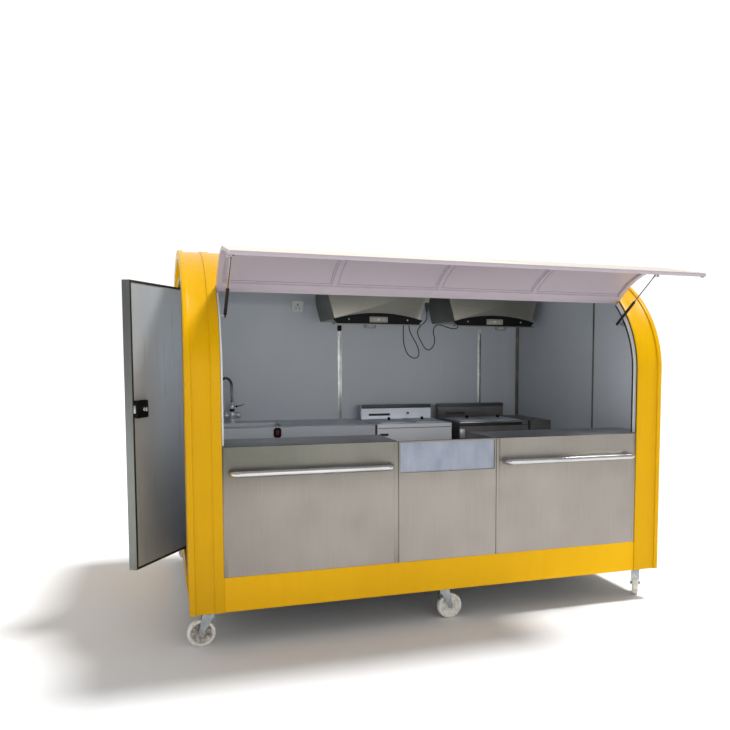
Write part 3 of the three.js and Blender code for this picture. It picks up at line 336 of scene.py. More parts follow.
# Hot-dip galvanised steel: dull grey zinc whose crystals show as soft angular spangles
zinc, tree, into, place = begin("galvanised_steel", Metallic=0.85)
crystal = add(tree, "TexVoronoi", {"Vector": place, "Scale": per_metre(14.3)})
haze = add(tree, "TexNoise", {"Vector": place, "Scale": per_metre(111), "Detail": 5.0})
grey = add(tree, "RGBToBW", {"Color": crystal.outputs["Color"]})
both = add(tree, "Math", {0: grey, 1: haze}, operation="MULTIPLY")
share = add(tree, "MapRange", {"Value": both, "From Max": 0.45})
add(tree, "Mix", {0: share, 6: linear("#7C8286"), 7: linear("#A9AEB2")}, into["Base Color"], data_type="RGBA")
add(tree, "MapRange", {"Value": haze, "To Min": 0.38, "To Max": 0.62}, into["Roughness"])
add(tree, "Bump", {"Height": grey, "Distance": 0.0002, "Strength": 0.4}, into["Normal"])

# Each caster's swivel axis, and the way its wheel trails
CASTERS = {
    "front_left": (101, 101, 180), "front_middle": (1450, 101, 0), "front_right": (2799, 101, 56),
    "rear_left": (101, 2019, 160), "rear_middle": (1450, 2019, 20), "rear_right": (2799, 2019, -30),
}
eased("chassis_frame", zinc, 1.5)
bolts = bmesh.new()
for x, y, _ in CASTERS.values():
    for dx, dy in ((-38, -38), (38, -38), (38, 38), (-38, 38)):
        head = spun([[0, 0], [9, 0], [9, -1.2], [7.4, -1.6], [7.4, -6], [6.2, -7], [0, -7]], 6)
        put(bolts, head, placed((x + dx, y + dy, 199)))
settle(bolts, "caster_bolts", "shell", zinc)

# Five-bar tread plate in mill-finish aluminium: bright raised bars on a dull, scuffed ground
tread, tree, into, place = begin("tread_plate", Metallic=1.0)
large = add(tree, "Mapping", {"Vector": place, "Scale": [per_metre(45.5)] * 3})
cell = add(tree, "VectorMath", {0: large}, operation="FRACTION")
parts = add(tree, "SeparateXYZ", {"Vector": cell})
up = add(tree, "Math", {0: parts.outputs["X"], 1: parts.outputs["Y"]}, operation="ADD")
side = add(tree, "Math", {0: parts.outputs["X"], 1: parts.outputs["Y"]}, operation="SUBTRACT")
bar = add(tree, "Math", {0: up, 1: 0.5}, operation="PINGPONG")
long = add(tree, "Math", {0: side, 1: 0.5}, operation="PINGPONG")
narrow = add(tree, "Math", {0: bar, 1: 2.6}, operation="MULTIPLY")
sum_up = add(tree, "Math", {0: narrow, 1: long}, operation="ADD")
raised = add(tree, "MapRange", {"Value": sum_up, "From Min": 0.42, "From Max": 0.3})
add(tree, "Mix", {0: raised, 6: linear("#777B7E"), 7: linear("#A6AAAD")}, into["Base Color"], data_type="RGBA")
add(tree, "Bump", {"Height": raised, "Distance": 0.0015}, into["Normal"])
scuff = add(tree, "TexNoise", {"Vector": place, "Scale": per_metre(71.4), "Detail": 6.0})
add(tree, "MapRange", {"Value": scuff, "To Min": 0.3, "To Max": 0.6}, into["Roughness"])
eased("floor_plate", tread, 1.0)


# Casters: six swivel casters in pressed, zinc-plated steel, each a domed crown with two legs
# bolted through an ivory polyamide wheel that turns on a steel axle.
def block(low, high, edge=0.0, steps=2):
    """A box between two corners, its edges rounded where a radius is given."""
    low, high = Vector(low), Vector(high)
    bm = bmesh.new()
    bmesh.ops.create_cube(bm, size=1.0, matrix=Matrix.Translation((low + high) / 2)
                          @ Matrix.Diagonal((*(high - low), 1)))
    if edge:
        bmesh.ops.bevel(bm, geom=bm.edges[:], offset=edge, offset_type="OFFSET", segments=steps,
                        profile=0.5, affect="EDGES", material=-1)
    return bm


def rounded(outline, radius, steps=3):
    """A closed outline whose corners turn on a radius, or on each corner's own as its third value."""
    turned = []
    for i, corner in enumerate(outline):
        here, before = Vector(corner[:2]), Vector(outline[i - 1][:2])
        after = Vector(outline[(i + 1) % len(outline)][:2])
        wide = corner[2] if len(corner) > 2 else radius
        start = here.lerp(before, min(wide / (before - here).length, 0.45))
        end = here.lerp(after, min(wide / (after - here).length, 0.45))
        for k in range(steps + 1):
            share = k / steps
            turned.append(start.lerp(here, share).lerp(here.lerp(end, share), share))
    return turned


def lofted(rings):
    """A closed skin through rings of places in the same order, capped at both ends."""
    wide, long = len(rings[0]), len(rings) - 1
    bm = bmesh.new()
    bmesh.ops.create_grid(bm, x_segments=wide, y_segments=long, size=0.5)
    for vert in bm.verts:
        i, j = round((vert.co.x + 0.5) * wide) % wide, round((vert.co.y + 0.5) * long)
        vert.co = rings[j][i]
    bmesh.ops.remove_doubles(bm, verts=bm.verts, dist=0.001)
    bmesh.ops.holes_fill(bm, edges=[edge for edge in bm.edges if edge.is_boundary])
    bmesh.ops.recalc_face_normals(bm, faces=bm.faces)
    return bm


def facing_front(outline, front, back):
    """An outline of [across, up] places, drawn out from front to back."""
    return lofted([[(x, y, z) for x, z in outline] for y in (front, back)])


LINES, FINE_LINES = 10 / 7, 10 / 9  # seven and nine grain lines to the centimetre


def grained(name, pale, deep, rough, grain, cloud=455, metal=1.0):
    """Stainless, aluminium or plated steel: a one-way grain of the given size along each axis, cloudy
    reflections and a few wiped smears. The grain is coarser than the real one, so that it shows."""
    finish, tree, into, place = begin(name, Metallic=metal)
    drift = add(tree, "TexNoise", {"Vector": place, "Scale": per_metre(cloud), "Detail": 2.0, "Roughness": 0.5})
    lengthen = add(tree, "Mapping", {"Vector": place, "Scale": [per_metre(size) for size in grain]})
    line = add(tree, "TexNoise", {"Vector": lengthen, "Scale": 1.0, "Detail": 3.0})
    both = add(tree, "Math", {0: drift, 1: line}, operation="ADD")
    share = add(tree, "MapRange", {"Value": both, "From Min": 0.6, "From Max": 1.4})
    add(tree, "Mix", {0: share, 6: linear(deep), 7: linear(pale)}, into["Base Color"], data_type="RGBA")
    smear = add(tree, "TexNoise", {"Vector": place, "Scale": per_metre(cloud / 3), "Detail": 3.0,
                                   "Roughness": 0.6})
    add(tree, "MapRange", {"Value": smear, "From Min": 0.3, "From Max": 0.7, "To Min": rough - 0.05,
                           "To Max": rough + 0.06}, into["Roughness"])
    cut = add(tree, "Bump", {"Height": line, "Distance": 0.00008, "Strength": 0.4})
    add(tree, "Bump", {"Height": drift, "Distance": 0.003, "Strength": 0.12, "Normal": cut}, into["Normal"])
    return finish


# Bright zinc plate gone milky: soft reflections, in clouds some centimetres wide
plated = grained("zinc_plated_steel", "#C3C8CC", "#8F959A", 0.34, (16.67, 16.67, 16.67), cloud=50)


def cast_nylon(title, centre, soil):
    """Cast polyamide: ivory and waxy, a little translucent, with brown soil caked on the sunk web."""
    finish, tree, into, place = begin(f"cast_polyamide_{title}", IOR=1.53, Subsurface_Weight=0.08,
                                      Subsurface_Radius=(0.006, 0.005, 0.004))
    grime = add(tree, "TexNoise", {"Vector": place, "Scale": per_metre(23.8), "Detail": 8.0, "Roughness": 0.65})
    share = add(tree, "MapRange", {"Value": grime, "From Min": 0.47, "From Max": 0.68})
    shade = add(tree, "Mix", {0: share, 6: linear("#F6F5EE"), 7: linear("#CFC9B8")}, data_type="RGBA")
    out = add(tree, "VectorMath", {0: place, 1: centre}, operation="DISTANCE")
    web = add(tree, "MapRange", {"Value": out, "From Min": 0.06, "From Max": 0.052})
    caked = add(tree, "MapRange", {"Value": grime, "From Min": 0.25, "From Max": 0.6, "To Max": soil})
    both = add(tree, "Math", {0: web, 1: caked}, operation="MULTIPLY")
    add(tree, "Mix", {0: both, 6: shade, 7: linear("#6B584C")}, into["Base Color"], data_type="RGBA")
    add(tree, "MapRange", {"Value": grime, "To Min": 0.38, "To Max": 0.72}, into["Roughness"])
    add(tree, "Bump", {"Height": grime, "Distance": 0.0008, "Strength": 0.4}, into["Normal"])
    return finish


AXLE = (40, 0, 75)  # a wheel's centre behind its swivel axis
WHEEL = [
    [6.4, 20], [11, 20], [12, 19], [12, 16.5], [18, 15.5], [25, 16.5], [26.5, 17.5], [28, 16], [31, 10],
    [36, 7.5], [52, 7.5], [56, 10], [59, 17], [61, 18.8], [64, 19.4], [69, 18.6], [73, 15], [74.6, 9], [75, 0],
]
for title, (x, y, turned) in CASTERS.items():
    turn = placed((x, y, 0), turned)
    sideways = turn @ placed(AXLE, 90, "X")
    outline = WHEEL + [[radius, -half] for radius, half in WHEEL[-2::-1]] + [WHEEL[0]]
    nylon = cast_nylon(title, (to_row @ sideways).translation, 0.9 if title == "front_left" else 0.12)
    wheel = settle(spun(outline, 56), f"wheel_{title}", f"wheel_{title}", nylon, sideways)
    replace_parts(wheel, f"caster_wheel_{title}")
    fork = spun([[0, 188.7], [27, 188.7], [28, 187.5], [28, 184], [24, 181.5], [29, 179], [29.5, 176],
                 [27, 173.5], [12, 173], [9, 168], [0, 168]], 36)
    leg = rounded([[-27, 182, 4], [26, 182, 4], [34, 172, 14], [54, 84, 10], [54, 66, 10], [40, 61, 10],
                   [26, 66, 10], [24, 80, 20], [-20, 158, 22], [-27, 168, 6]], 6)
    for side in (-1, 1):
        put(fork, facing_front(leg, side * 24.5 - 2, side * 24.5 + 2))
        nut = spun([[0, 0], [10, 0], [10, 1.2], [8.2, 1.6], [8.2, 5.4], [7.2, 6.4], [0, 6.4]], 6)
        put(fork, nut, placed((40, side * 26.4, 75), -side * 90, "X"))
    put(fork, block((-24, -26.4, 178.5), (28, 26.4, 182.5), 1.5))
    put(fork, block((-27, -26.4, 118), (-24, 26.4, 180), 1.2))
    put(fork, spun([[0, -27], [6, -27], [6, 27], [0, 27]], 20), placed(AXLE, 90, "X"))
    fork = settle(fork, f"fork_{title}", f"caster_{title}", plated, turn)
    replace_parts(fork, f"caster_fork_{title}")


# End bands: each end of the shell is a folded arch of yellow coated sheet, 178 mm wide, with a
# rolled bead at its outer edge and a raised strip beside the window. It is riveted to the roof.
ENDS = {"left": (0, 1), "right": (2900, -1)}  # each outer end, and which way is in
WINDOW = {"left": (178, 1), "right": (2722, -1)}  # the same for the edges of the serving window
SKIN, WALL = 10, 50  # how far the sheet and the inside of the wall lie in from the bead's crown
# The side's outline is a quarter ellipse from the spring line at the front up to the crown, and a
# flatter one from there to the rear, which springs higher by the lift
SPRING, RISE, HALF, LIFT = 1482.0, 741.0, 1060.0, 468.0


def sprayed(name, pale, deep, rough, peel=3.85, **sockets):
    """Powder coat or coil paint on steel sheet: slight cloud in the tone, upright streaks of wiped dust,
    and orange peel of a size in millimetres, a little coarser than the real one, so that it shows."""
    finish, tree, into, place = begin(name, IOR=1.5, **sockets)
    drift = add(tree, "TexNoise", {"Vector": place, "Scale": per_metre(909), "Detail": 3.0, "Roughness": 0.55})
    run = add(tree, "Mapping", {"Vector": place, "Scale": [per_metre(size) for size in (45.5, 45.5, 714)]})
    streak = add(tree, "TexNoise", {"Vector": run, "Scale": 1.0, "Detail": 4.0})
    faint = add(tree, "Math", {0: streak, 1: 0.3, 2: drift}, operation="MULTIPLY_ADD")
    share = add(tree, "MapRange", {"Value": faint, "From Min": 0.4, "From Max": 0.9})
    add(tree, "Mix", {0: share, 6: linear(deep), 7: linear(pale)}, into["Base Color"], data_type="RGBA")
    add(tree, "MapRange", {"Value": streak, "From Min": 0.3, "From Max": 0.7, "To Min": rough - 0.04,
                           "To Max": rough + 0.06}, into["Roughness"])
    skin = add(tree, "TexNoise", {"Vector": place, "Scale": per_metre(peel), "Detail": 1.0})
    add(tree, "Bump", {"Height": skin, "Distance": 0.0003, "Strength": 0.35}, into["Normal"])
    return finish


# Yellow powder coat: a warm satin yellow with hardly any highlight. The inside is coil paint, a
# cool pale grey with a faint shine.
yellow = sprayed("yellow_powder_coat", "#E6B000", "#DBA500", 0.3, Specular_IOR_Level=0.12)
lining = sprayed("grey_coil_paint", "#CDD2D8", "#C4CAD0", 0.42, 2.38)


def side_place(inset, station):
    """A place on the side outline: millimetres below the spring line before 0, degrees over the arch,
    and millimetres down the rear after 180."""
    angle = math.radians(min(max(station, 0), 180))
    drop = max(-station, station - 180, 0)
    lift = LIFT if station > 90 else 0
    height = SPRING + lift + (RISE - lift - inset) * math.sin(angle) - drop
    return HALF - (HALF - inset) * math.cos(angle), height


def stations(start, end, step=3.0):
    """Stations from one to another, with even steps over the arch only."""
    first, last = max(start, 0.0), min(end, 180.0)
    count = max(1, round((last - first) / step))
    between = [first + (last - first) * i / count for i in range(count + 1)] if last > first else []
    return sorted({start, *between, end})


def along_arch(section, start, end, step=3.0):
    """A section of [across, inset] places carried along the kiosk's side outline."""
    return lofted([[(x, *side_place(inset, at)) for x, inset in section] for at in stations(start, end, step)])


def inward(centre, normal):
    """1 for a face that looks into the cabin, 0 for one that looks out of it or along it."""
    lift = LIFT if centre.y > HALF else 0
    out = Vector((centre.y - HALF, max(centre.z - SPRING - lift, 0) * HALF / (RISE - lift)))
    return int(out.length > 0 and Vector((normal.y, normal.z)).dot(out.normalized()) < -0.5)


BAND_FOOT, REAR_FOOT = -1282, 1930  # stations of both feet, 200 mm above the ground
BAND = rounded([[0, WALL, 1], [0, 0, 7], [30, 0, 7], [30, SKIN, 3], [128, SKIN, 1.5], [128, 4, 3], [178, 4, 3],
                [178, WALL, 1]], 2, 4)
for title, (edge, hand) in ENDS.items():
    shape = along_arch([(edge + hand * x, inset) for x, inset in BAND], BAND_FOOT, REAR_FOOT)
    for face in shape.faces:
        face.material_index = inward(face.calc_center_median(), face.normal)
    band = settle(shape, f"{title}_end_band", "shell", [yellow, lining])
    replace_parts(band, f"{title}_arch")


# Roof, rear wall and skirt: insulated panels between the bands, yellow coated sheet outside and
# grey coil-painted sheet inside, with cover strips over the sheet joints.
def rectangle(left, low, right, high):
    """The corners of a rectangle."""
    return [[left, low], [right, low], [right, high], [left, high]]


# Anodised aluminium: matt grey with an upright grain. The roof's front edge has the awning liner's coil paint,
# a mauve grey, and the skirt's powder coat is painted paler than the bands', as painted light on the low front
# that lies in shade.
aluminium = grained("anodised_aluminium", "#8D908C", "#757873", 0.4, (FINE_LINES, FINE_LINES, 167), cloud=333)
liner_paint = sprayed("mauve_grey_coil_paint", "#BBB0B7", "#B0A5AC", 0.36, 2.38)
skirt_yellow_painted_light = sprayed("pale_yellow_painted_light_coat", "#F8BE04", "#EEB200", 0.3, Specular_IOR_Level=0.12)
HINGE_AT, ROOF_FROM, STRIPS_FROM = 39.4, 39.63, 46  # stations: degrees over the arch
hinge_y, hinge_z = side_place(7, HINGE_AT)
roof = along_arch(rectangle(WINDOW["left"][0], SKIN, WINDOW["right"][0], WALL), ROOF_FROM, 180, 2.5)
for face in roof.faces:
    face.material_index = inward(face.calc_center_median(), face.normal)
    if face.normal.y < -0.1 and face.normal.z < -0.1 and face.calc_center_median().y < HALF:
        face.material_index = 3
rod = spun([[0, 0], [6, 0], [6, 2538], [0, 2538]], 20)
put(roof, rod, placed((181, hinge_y, hinge_z), 90, "Y"), finish=2)
roof = settle(roof, "roof_panel", "shell", [yellow, lining, aluminium, liner_paint])
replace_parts(roof, "roof_shell")
eased("rear_wall", [yellow, lining], 0, inward)
# The skirt's outer face takes the paler coat, which is painted light
eased("front_skirt", [skirt_yellow_painted_light, lining], 1.5, lambda centre, normal: int(normal.y > 0.5))
strips = bmesh.new()
for x in (813, 1450, 2087):
    outline = rounded([[x - 22, 10.5, 1], [x - 20, 8.2, 1], [x + 20, 8.2, 1], [x + 22, 10.5, 1]], 1)
    put(strips, along_arch(outline, STRIPS_FROM, REAR_FOOT))
settle(strips, "sheet_joint_covers", "shell", yellow)
rivets = bmesh.new()
dome = [[0, 1.9], [1.6, 1.6], [2.8, 0.9], [3.4, 0], [0, -1]]
for edge, hand in ENDS.values():
    for station in [-1240 + 150 * i for i in range(9)] + [6 * i for i in range(1, 26)] + [157, 167] + [
            190 + 150 * i for i in range(12)]:
        slope = math.radians(min(max(station, 0), 180))
        rise = RISE - LIFT if station > 90 else RISE
        out = Vector((0, -math.cos(slope) * rise, math.sin(slope) * HALF)).normalized()
        turn = out.to_track_quat("Z", "Y").to_matrix().to_4x4()
        put(rivets, spun(dome, 8), placed((edge + hand * 118, *side_place(SKIN, station))) @ turn)
settle(rivets, "band_rivets", "shell", yellow)


# End walls: flat sandwich panels set inside the bands, yellow sheet outside and grey inside, with
# an aluminium frame round the doorway of the left one.
def blocks(shape, edge, *corners, steps=2, finish=0):
    """Adds a row of blocks to a shape, each between two corners."""
    for low, high in corners:
        put(shape, block(low, high, edge, steps), finish=finish)
    return shape


# Weathered yellow sheet: chalky, with no highlight at all
panel_yellow = sprayed("matt_yellow_panel", "#E2A900", "#D39B00", 0.6, 2.38, Specular_IOR_Level=0.0)
eased("left_end_wall", [panel_yellow, lining], 0, lambda centre, normal: int(normal.x > 0.5))
eased("right_end_wall", [panel_yellow, lining], 0, lambda centre, normal: int(normal.x < -0.5))
DOOR_FRONT, DOOR_BACK, DOOR_LOW, DOOR_TOP = 437.0, 1016.5, 345.0, 1990.0
surround = blocks(
    bmesh.new(), 0.8,
    ((2.2, DOOR_FRONT - 36, DOOR_LOW - 36), (5.2, DOOR_FRONT - 9, DOOR_TOP + 36)),
    ((2.2, DOOR_FRONT - 9, DOOR_TOP + 9), (5.2, DOOR_BACK + 5, DOOR_TOP + 36)),
    ((2.2, DOOR_FRONT - 9, DOOR_LOW - 36), (5.2, DOOR_BACK + 5, DOOR_LOW - 9)),
    ((44.8, DOOR_FRONT - 30, DOOR_LOW - 30), (47.2, DOOR_FRONT - 9, DOOR_TOP + 30)),
    ((44.8, DOOR_BACK + 9, DOOR_LOW - 30), (47.2, DOOR_BACK + 30, DOOR_TOP + 30)),
    ((44.8, DOOR_FRONT - 9, DOOR_TOP + 9), (47.2, DOOR_BACK + 9, DOOR_TOP + 30)),
    ((44.8, DOOR_FRONT - 9, DOOR_LOW - 30), (47.2, DOOR_BACK + 9, DOOR_LOW - 9)))
settle(surround, "doorway_frame", "shell", aluminium)


# Serving front: three folded stainless fascias between seams, two worktops with their gables, a
# polished hand rail on each side fascia, and a glass strip in the middle one.

# Brushed stainless with an upright grain: a soft, warm grey mirror of the ground before it
fascia_steel = grained("brushed_stainless_painted_reflection", "#A69F98", "#958E87", 0.36, (LINES, LINES, 250))
# Painted reflection: the sheets' colour is darkened to an olive tone above the rails, for the olive ground
# further off that they mirror, and painted darker towards the left, for the darker ground the left sheets
# mirror
tree = fascia_steel.node_tree
into = tree.nodes["Principled BSDF"].inputs
height = add(tree, "SeparateXYZ", {"Vector": tree.nodes["Texture Coordinate"].outputs["Object"]})
rise = add(tree, "MapRange", {"Value": height.outputs["Z"], "From Min": 0.8, "From Max": 1.0},
           interpolation_type="SMOOTHSTEP")
painted_reflection_across = add(tree, "MapRange", {"Value": height.outputs["X"], "From Min": -1.1, "From Max": 1.1, "To Min": 1.0,
                              "To Max": 0.3})
both = add(tree, "Math", {0: rise, 1: painted_reflection_across}, operation="MULTIPLY")
shade = add(tree, "Mix", {0: both, 6: into["Base Color"].links[0].from_socket, 7: linear("#C0C9C3")},
            data_type="RGBA", blend_type="MULTIPLY")
painted_reflection_left = add(tree, "MapRange", {"Value": height.outputs["X"], "From Min": -1.1, "From Max": 0.4, "To Min": 0.9,
                                "To Max": 0.0})
add(tree, "Mix", {0: painted_reflection_left, 6: shade, 7: linear("#E4E3E2")}, into["Base Color"], data_type="RGBA",
    blend_type="MULTIPLY")
# The worktops are brushed along their length, and the rails polished until they show bright lines
worktop_steel = grained("worktop_stainless", "#B8B8BA", "#969698", 0.34, (200, FINE_LINES, FINE_LINES))
rail_steel = grained("satin_tube", "#D6D6D6", "#B4B4B4", 0.2, (250, LINES, LINES), cloud=167)
for title in ("left_fascia", "right_fascia", "centre_fascia"):
    eased(title, fascia_steel, 1.4)
for title in ("left_worktop", "right_worktop"):
    eased(title, worktop_steel, 1.2)
joints = bmesh.new()
for left, right in ((1118, 1145), (1755, 1778), (180, 196), (2704, 2720)):
    put(joints, block((left, 9.1, 389), (right, 10.4, 1085), 0.5))
settle(joints, "fascia_joint_strips", "shell", fascia_steel)


def quarter(corner, into, away, radius, steps=8):
    """Places round a quarter bend of a tube."""
    corner, into, away = Vector(corner), Vector(into), Vector(away)
    turns = [math.pi / 2 * i / steps for i in range(steps + 1)]
    return [corner - into * radius * (1 - math.sin(t)) + away * radius * (1 - math.cos(t)) for t in turns]


RAIL_HEIGHT = 949
for title, start, end in (("left", 230, 1094), ("right", 1806, 2670)):
    places = [Vector((start, 9, RAIL_HEIGHT)), *quarter((start, -52, RAIL_HEIGHT), (0, -1, 0), (1, 0, 0), 30),
              *quarter((end, -52, RAIL_HEIGHT), (1, 0, 0), (0, 1, 0), 30), Vector((end, 9, RAIL_HEIGHT))]
    rail = pipe(f"{title}_hand_rail", places, 18.5, "shell", rail_steel, sides=8)
    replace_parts(rail, f"{title}_rail")
    seats = bmesh.new()
    for x in (start, end):
        weld = spun([[17, -2], [21.5, -1], [22.5, 0.6], [21, 2.4], [18.6, 3.2], [17, 2], [17, -2]], 32)
        put(seats, weld, placed((x, 10, RAIL_HEIGHT), 90, "X"))
    settle(seats, f"{title}_rail_seats", "shell", fascia_steel)

# Toughened float glass: faintly blue, with wide smears left from wiping
glass, tree, into, place = begin("float_glass", Roughness=0.06, IOR=1.5, Transmission_Weight=0.45)
wipe = add(tree, "Mapping", {"Vector": place, "Scale": [per_metre(size) for size in (69.4, 69.4, 156)]})
smear = add(tree, "TexNoise", {"Vector": wipe, "Scale": 1.0, "Detail": 5.0})
add(tree, "Mix", {0: smear, 6: linear("#9FABC4"), 7: linear("#DDE3EE")}, into["Base Color"], data_type="RGBA")
add(tree, "MapRange", {"Value": smear, "From Min": 0.4, "From Max": 0.8, "To Min": 0.03, "To Max": 0.22},
    into["Roughness"])
eased("counter_glass", glass, 0.6)


# Window reveals: an edge profile, painted white as painted reflection, covers each band's inner edge from the
# counter to the hinge line, between a black rubber strip at the front and the seal behind it.
def moulded(name, pale, deep, rough, grit=0.714, **sockets):
    """Moulded plastic, rubber or enamel: an even colour, a fine spark-eroded grain, drawn coarse enough
    to show, and slight polish where it is touched."""
    finish, tree, into, place = begin(name, IOR=1.46, **sockets)
    touch = add(tree, "TexNoise", {"Vector": place, "Scale": per_metre(35.7), "Detail": 4.0})
    add(tree, "Mix", {0: touch, 6: linear(deep), 7: linear(pale)}, into["Base Color"], data_type="RGBA")
    add(tree, "MapRange", {"Value": touch, "To Min": rough - 0.12, "To Max": rough + 0.12}, into["Roughness"])
    skin = add(tree, "TexNoise", {"Vector": place, "Scale": per_metre(grit), "Detail": 2.0})
    add(tree, "Bump", {"Height": skin, "Distance": 0.0001, "Strength": 0.5}, into["Normal"])
    return finish


# Black rubber: dry and dull. The coated profile is painted white, a painted reflection of the bright sky along
# the opening's edge.
seal_rubber = moulded("seal_rubber", "#26272A", "#17181A", 0.6)
reveal_painted_reflection = sprayed("white_edge_profile_painted_reflection", "#F2F3F0", "#E2E4E0", 0.3, 2.38)
COUNTER, WINDOW_HEAD = -391, 38.2  # stations where the window ends, below and above
for title, (edge, hand) in WINDOW.items():
    flange = 14 if title == "left" else 5
    angle = [[0, 19], [1.8, 19], [1.8, 43.5], [flange, 43.5], [flange, 47], [0, 47]]
    lip = [[0, 10.5], [2.2, 10.5], [2.4, 14], [2.2, 18.6], [0, 18.6]]
    bead = [[9 + 5 * math.cos(t), 51.2 + 4 * math.sin(t)] for t in (2 * math.pi * i / 10 for i in range(10))]
    for piece, section, finish, sharp in (("reveal", angle, reveal_painted_reflection, 35), ("lip", lip, seal_rubber, 35),
                                          ("seal", bead, seal_rubber, 60)):
        shape = along_arch([(edge + hand * x, inset) for x, inset in section], COUNTER, WINDOW_HEAD)
        settle(shape, f"{title}_window_{piece}", "shell", finish, sharp=sharp)


# Awning: one curved sandwich panel on a hinge along the roof's edge, yellow sheet outside and a
# mauve-grey pressed liner inside, whose ribs part it into four shallow bays.
OPEN = 79.8  # degrees from shut
AWNING_TO = 38.91  # the station of its upper edge
hinge_line = Matrix.Translation((0, hinge_y, hinge_z))
awning_turn = hinge_line @ Matrix.Rotation(-math.radians(OPEN), 4, "X") @ hinge_line.inverted()
sheet = rounded([[181, 7, 1.5], [2719, 7, 1.5], [2719, 11, 0.5], [181, 11, 0.5]], 1, 2)
skin = along_arch(sheet, COUNTER, AWNING_TO, 2.0)
# Gloss yellow coat: a deeper yellow under a clear, sharp highlight
gloss_yellow = sprayed("yellow_gloss_coat", "#EDB818", "#E3AC10", 0.2, Coat_Weight=1.0, Coat_Roughness=0.12)
# The liner's coat is folded over the sheet's front edge
for face in skin.faces:
    face.material_index = int(face.calc_center_median().z < SPRING + COUNTER + 0.1)
skin = settle(skin, "awning_outer_sheet", "awning", [gloss_yellow, liner_paint], awning_turn)
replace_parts(skin, "awning_skin")
eased("awning_frame", liner_paint, 1.2)
beads = bmesh.new()
BAY_FOOT, BAY_HEAD, BAY_STEP = -335.5, 35.2, 627.25
for i in range(4):
    left, right = 217.2 + BAY_STEP * i, 801.0 + BAY_STEP * i
    for x in ((left, right - 3) if i else (right - 3,)):
        put(beads, along_arch(rectangle(x, 15, x + 3, 16.8), BAY_FOOT, BAY_HEAD))
    for low, high in ((BAY_FOOT - 3, BAY_FOOT), (BAY_HEAD, BAY_HEAD + 0.2)):
        ring = [side_place(15, low), side_place(16.8, low), side_place(16.8, high), side_place(15, high)]
        put(beads, lofted([[(x, y, z) for y, z in ring] for x in (left, right)]))
# The liner's coat again, darker as painted shade in the pressed corners
bead_paint = sprayed("shaded_bead_paint", "#90838F", "#837682", 0.4, 2.38)
settle(beads, "awning_bay_beads", "awning", bead_paint, awning_turn)
latches = bmesh.new()
for x in (197, 2703):
    latch = rounded(rectangle(-6, 1092, 6, 1110), 2, 3)
    put(latches, facing_front([(x + side, up) for side, up in latch], 26.0, 31.0))
settle(latches, "awning_latches", "awning", seal_rubber, awning_turn)


# Gas struts: a black painted cylinder with an eye on a stud at the band, and a ground steel rod
# whose eye sits on the awning's stud.

# Stoved paint: a brownish black with a low shine. The ground rod is nearly a mirror.
black_paint = moulded("black_stoved_paint", "#2B2425", "#141213", 0.38, 3.33)
ground_steel = grained("ground_steel", "#D2D3D4", "#A9AAAC", 0.18, (2, 2, 50), cloud=50)
foot_y, foot_z = side_place(81, 27.3)
stud = side_place(53, 2.0)
head = awning_turn @ Vector((0, *stud))
shut = math.dist(stud, (foot_y, foot_z))
reach = math.dist((head.y, head.z), (foot_y, foot_z))
lean = math.degrees(math.atan2(foot_y - head.y, head.z - foot_z))
eye = [[4.9, -4], [9, -4], [10, -3], [10, 3], [9, 4], [4.9, 4], [4.9, -4]]
for title, x in (("left", 221.0), ("right", 2679.0)):
    turn = placed((x, foot_y, foot_z), lean, "X")
    tube = spun([[0, 9], [5, 9], [7.5, 13], [9, 14], [9, 229], [8.2, 232], [8.6, 233.5], [7.6, 235],
                 [4.4, 235], [4.4, 17], [0, 17]], 28)
    put(tube, block((-3.9, -5, 3), (3.9, 5, 14), 1))
    put(tube, spun(eye, 24), placed((0, 0, 0), 90, "Y"))
    tube = settle(tube, f"strut_tube_{title}", f"strut_cylinder_{title}", black_paint, turn)
    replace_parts(tube, f"strut_cylinder_{title}")
    rod = spun([[0, reach - shut + 20], [4, reach - shut + 20], [4, reach - 22], [0, reach - 22]], 20)
    put(rod, spun([[0, reach - 26], [5.4, reach - 26], [5.4, reach - 13], [0, reach - 13]], 6))
    put(rod, block((-3.4, -4.5, reach - 15), (3.4, 4.5, reach - 5), 1))
    put(rod, spun(eye, 24), placed((0, 0, reach), 90, "Y"))
    rod = settle(rod, f"strut_piston_{title}", f"strut_rod_{title}", ground_steel, turn)
    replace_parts(rod, f"strut_rod_{title}")
feet = bmesh.new()
plate = rounded([[foot_y - 34, foot_z - 14, 4], [foot_y + 13, foot_z - 14, 10], [foot_y + 13, foot_z + 14, 10],
                 [foot_y - 34, foot_z + 14, 4]], 4)
for edge, hand in WINDOW.values():
    put(feet, lofted([[(edge + hand * x, y, z) for y, z in plate] for x in (0.2, 3.2)]))
    pin = spun([[0, 0], [9.5, 0], [9.5, 3], [5, 4.5], [4.9, 37.8], [5.6, 38.2], [5.6, 39.2], [0, 39.2]], 20)
    put(feet, pin, placed((edge + hand * 3, foot_y, foot_z), hand * 90, "Y"))
settle(feet, "strut_feet", "shell", plated)


# Service door: a 48 mm sandwich panel in an anodised aluminium edge profile with a black gasket,
# hung on a continuous pin hinge, with a rim lock inside and a flush pull outside.
PIN_X, PIN_Y = -3, 1023.8
AJAR = 31.2  # degrees from shut
pin = Matrix.Translation((PIN_X, PIN_Y, 0))
door_turn = pin @ Matrix.Rotation(-math.radians(AJAR), 4, "Z") @ pin.inverted()
